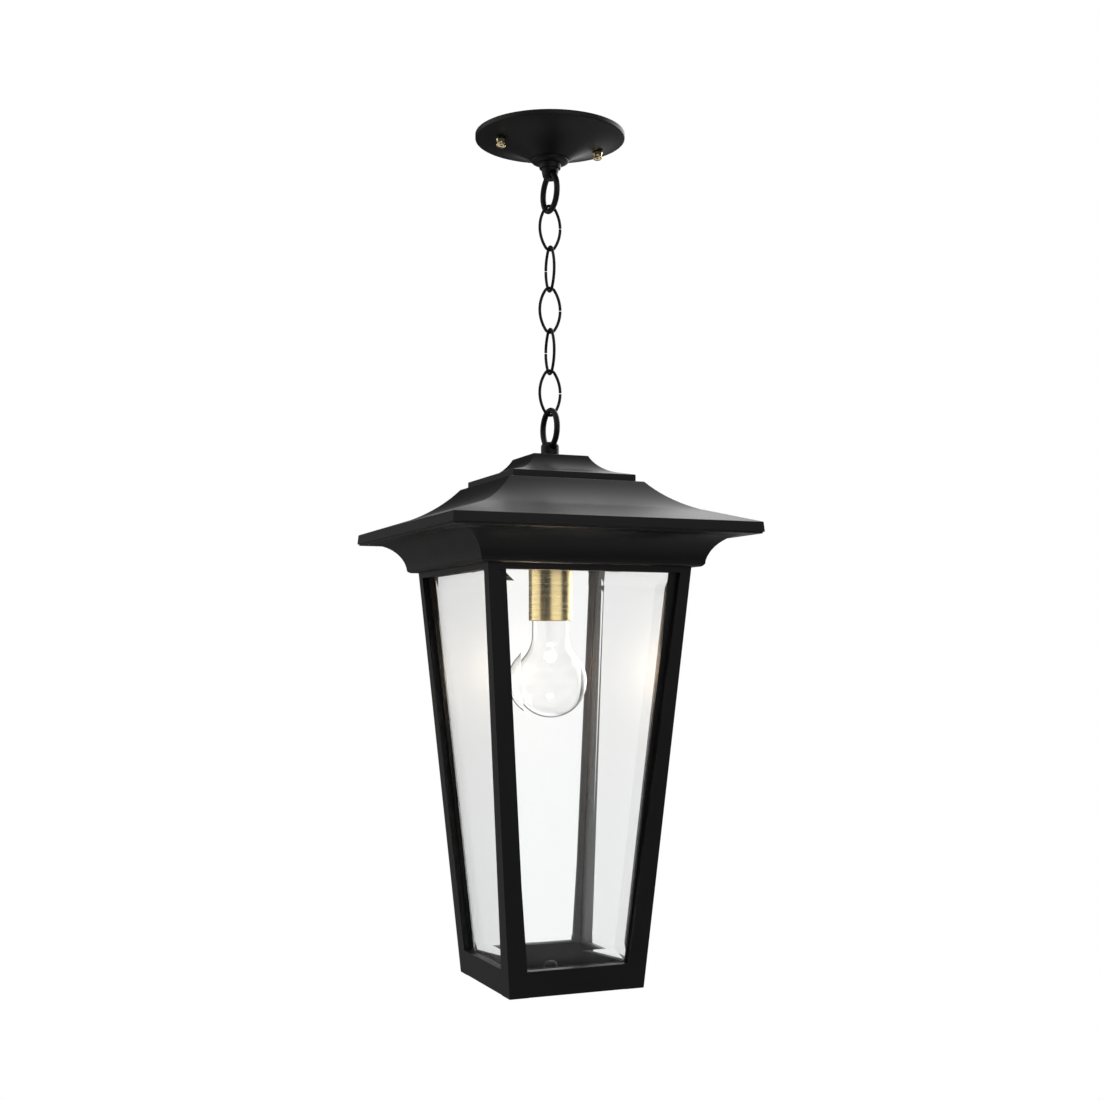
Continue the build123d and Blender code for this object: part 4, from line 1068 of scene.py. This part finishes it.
class LANTERN_OT_stage(Operator):
    """Camera, white room, pale floor and soft light"""

    bl_idname = "lantern.stage"
    bl_label = "Stage"

    def execute(self, context):
        scene = context.scene
        scene.view_settings.view_transform = "Standard"
        scene.cycles.caustics_reflective = False
        scene.cycles.caustics_refractive = False
        self.camera(scene)
        self.room(scene)
        self.floor(scene)
        self.lights(scene)
        return {"FINISHED"}

    def camera(self, scene):
        """Camera at the photograph's viewing angle."""
        stage = scene.lantern_stage
        lens = bpy.data.cameras.new("view")
        lens.lens = stage.lens
        lens.sensor_fit = "HORIZONTAL"
        camera = bpy.data.objects.new("view", lens)
        camera.location = (-sin(stage.view_turn) * stage.view_distance,
                           -cos(stage.view_turn) * stage.view_distance, stage.view_height)
        camera.rotation_euler = (pi / 2 + stage.view_tilt, 0, -stage.view_turn)
        scene.collection.objects.link(camera)
        scene.camera = camera

    def room(self, scene):
        """White room: white to the eye and through glass, with a soft fall-off in reflections."""
        scene.world = bpy.data.worlds.new("white_room")
        scene.world.use_nodes = True
        graph = Graph(scene.world.node_tree)
        depth = graph.node("ShaderNodeLightPath", output="Ray Depth")
        way = graph.node("ShaderNodeTexCoord", output="Generated")
        split = graph.node("ShaderNodeSeparateXYZ", {}, {"Vector": way})
        height = split.out("Z")
        band = graph.between(height, *BOX_FOOT) - graph.between(height, *BOX_TOP)
        flat = graph.node("ShaderNodeVectorMath", {"operation": "MULTIPLY"}, {0: way, 1: (1, 1, 0)})
        flat = graph.node("ShaderNodeVectorMath", {"operation": "NORMALIZE"}, {0: flat})
        side = self.patch(graph, flat, *LIT_SIDE)
        soft = ROOM_GLEAM
        for *spot, bright in ROOM_PATCHES:
            soft = soft + self.patch(graph, way, *spot) * bright
        for *spot, bright in SIDE_PATCHES:
            soft = soft + self.patch(graph, way, *spot) * side * bright
        for turn, half, bright in UPRIGHT_BOXES:
            soft = soft + self.patch(graph, flat, turn, 0, half + BOX_BLUR, half - BOX_BLUR) * band * bright
        level = scene.lantern_stage.room_light
        plain = graph.node("ShaderNodeBackground", {}, {"Color": (level, level, level)})
        mirrored = graph.node("ShaderNodeBackground", {}, {"Strength": soft, "Color": (1, 1, 1)})
        white = graph.node("ShaderNodeBackground", {}, {"Color": (1, 1, 1)})
        # A ray that a matt surface scattered sees the plain room, whatever mirrored it.
        gloss = depth.out("Glossy Depth") - depth.out("Diffuse Depth") * MOST_MIRRORED
        lit = graph.node("ShaderNodeMixShader", {}, {0: gloss, 1: plain, 2: mirrored})
        # White to rays that were mirrored once at most on their way to the eye.
        direct = (depth.out("Is Camera Ray") + depth.out("Is Transmission Ray")) * (
            2.0 - depth + depth.out("Transmission Depth"))
        both = graph.node("ShaderNodeMixShader", {}, {0: direct, 1: lit, 2: white})
        graph.node("ShaderNodeOutputWorld", {}, {"Surface": both})

    def heading(self, turn, rise):
        """Direction in the room, from its turn and rise in degrees."""
        level = cos(radians(rise))
        return Vector((level * cos(radians(turn)), level * sin(radians(turn)), sin(radians(rise))))

    def patch(self, graph, way, turn, rise, reach, core):
        """Soft round patch of light in a direction of the room: 1 within core, 0 past reach."""
        near = graph.node("ShaderNodeVectorMath", {"operation": "DOT_PRODUCT"},
                          {0: way, 1: self.heading(turn, rise)}, "Value")
        return graph.between(near, cos(radians(reach)), cos(radians(core)))

    def floor(self, scene):
        """Pale round floor, far below."""
        stage = scene.lantern_stage
        level = cad_box[0].z - stage.floor_drop
        form = bmesh.new()
        bmesh.ops.create_circle(form, cap_ends=True, segments=FLOOR_FACETS, radius=stage.floor_radius,
                                matrix=Matrix.Translation((0, 0, level)))
        mesh = mesh_of(form, "floor")
        material = bpy.data.materials.new("pale_floor")
        material.use_nodes = True
        graph = Graph(material.node_tree)
        cloud = graph.grain(3.0, detail=3.0)
        matt = graph.node("ShaderNodeBsdfPrincipled", {}, {
            "Base Color": graph.blend(cloud, *FLOOR_TONES), "Roughness": 0.9,
            "Specular IOR Level": 0.0})
        white = graph.node("ShaderNodeEmission", {}, {"Color": (1, 1, 1)})
        ray = graph.node("ShaderNodeLightPath", output="Is Camera Ray")
        seen = (ray + ray.out("Is Transmission Ray")) * FLOOR_WHITE
        both = graph.node("ShaderNodeMixShader", {}, {0: seen, 1: matt, 2: white})
        graph.node("ShaderNodeOutputMaterial", {}, {"Surface": both})
        mesh.materials.append(material)
        placed("floor", mesh)

    def lights(self, scene):
        """Soft boxes in the room and the glow of the lamp."""
        stage = scene.lantern_stage
        low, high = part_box("bulb_glass")
        middle = (low + high) / 2
        for name, turn, rise, wide, tall, bright in SOFT_BOXES:
            data = bpy.data.lights.new(name, "AREA")
            data.shape = "RECTANGLE"
            data.size = 2 * stage.box_distance * tan(radians(wide / 2))
            data.size_y = 2 * stage.box_distance * tan(radians(tall / 2))
            data.energy = bright * pi * data.size * data.size_y
            box = bpy.data.objects.new(name, data)
            way = self.heading(turn, rise)
            box.location = middle + way * stage.box_distance
            box.rotation_euler = way.to_track_quat("Z", "Y").to_euler()
            box.visible_camera = False
            box.visible_glossy = False
            box.visible_transmission = False
            scene.collection.objects.link(box)
        low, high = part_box("filament")
        data = bpy.data.lights.new("lamp_glow", "POINT")
        data.energy = stage.glow_power
        data.color = stage.glow_tint
        data.shadow_soft_size = stage.glow_radius
        glow = bpy.data.objects.new("lamp_glow", data)
        glow.location = (low + high) / 2 + Vector((0, 0, stage.glow_rise))
        scene.collection.objects.link(glow)
        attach(glow, frame["nodes"]["filament"]["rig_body"])


class LANTERN_PT_sidebar(Panel):
    """Sizes, finishes and steps of the lantern"""

    bl_idname = "LANTERN_PT_sidebar"
    bl_label = "Lantern"
    bl_space_type = "VIEW_3D"
    bl_region_type = "UI"
    bl_category = "Lantern"

    def draw(self, context):
        for group in (context.scene.lantern_details, context.scene.lantern_finishes,
                      context.scene.lantern_stage):
            box = self.layout.box()
            for name in group.__annotations__:
                box.prop(group, name)
        for step in STEPS:
            self.layout.operator(step.bl_idname)


GROUPS = {"lantern_details": LanternDetails, "lantern_finishes": LanternFinishes,
          "lantern_stage": LanternStage}
STEPS = (LANTERN_OT_ceiling_mount, LANTERN_OT_cap_nuts, LANTERN_OT_chain, LANTERN_OT_roof,
         LANTERN_OT_cage, LANTERN_OT_glazing, LANTERN_OT_fasteners, LANTERN_OT_lamp_carrier,
         LANTERN_OT_lamp, LANTERN_OT_stage)


def register():
    for part in (*GROUPS.values(), *STEPS, LANTERN_PT_sidebar):
        bpy.utils.register_class(part)
    for name, group in GROUPS.items():
        setattr(bpy.types.Scene, name, PointerProperty(type=group))


def unregister():
    for name in GROUPS:
        delattr(bpy.types.Scene, name)
    for part in (LANTERN_PT_sidebar, *reversed(STEPS), *reversed(GROUPS.values())):
        bpy.utils.unregister_class(part)


def main():
    register()
    for step in STEPS:
        area, name = step.bl_idname.split(".")
        getattr(getattr(bpy.ops, area), name)()


if __name__ == "__main__":
    main()
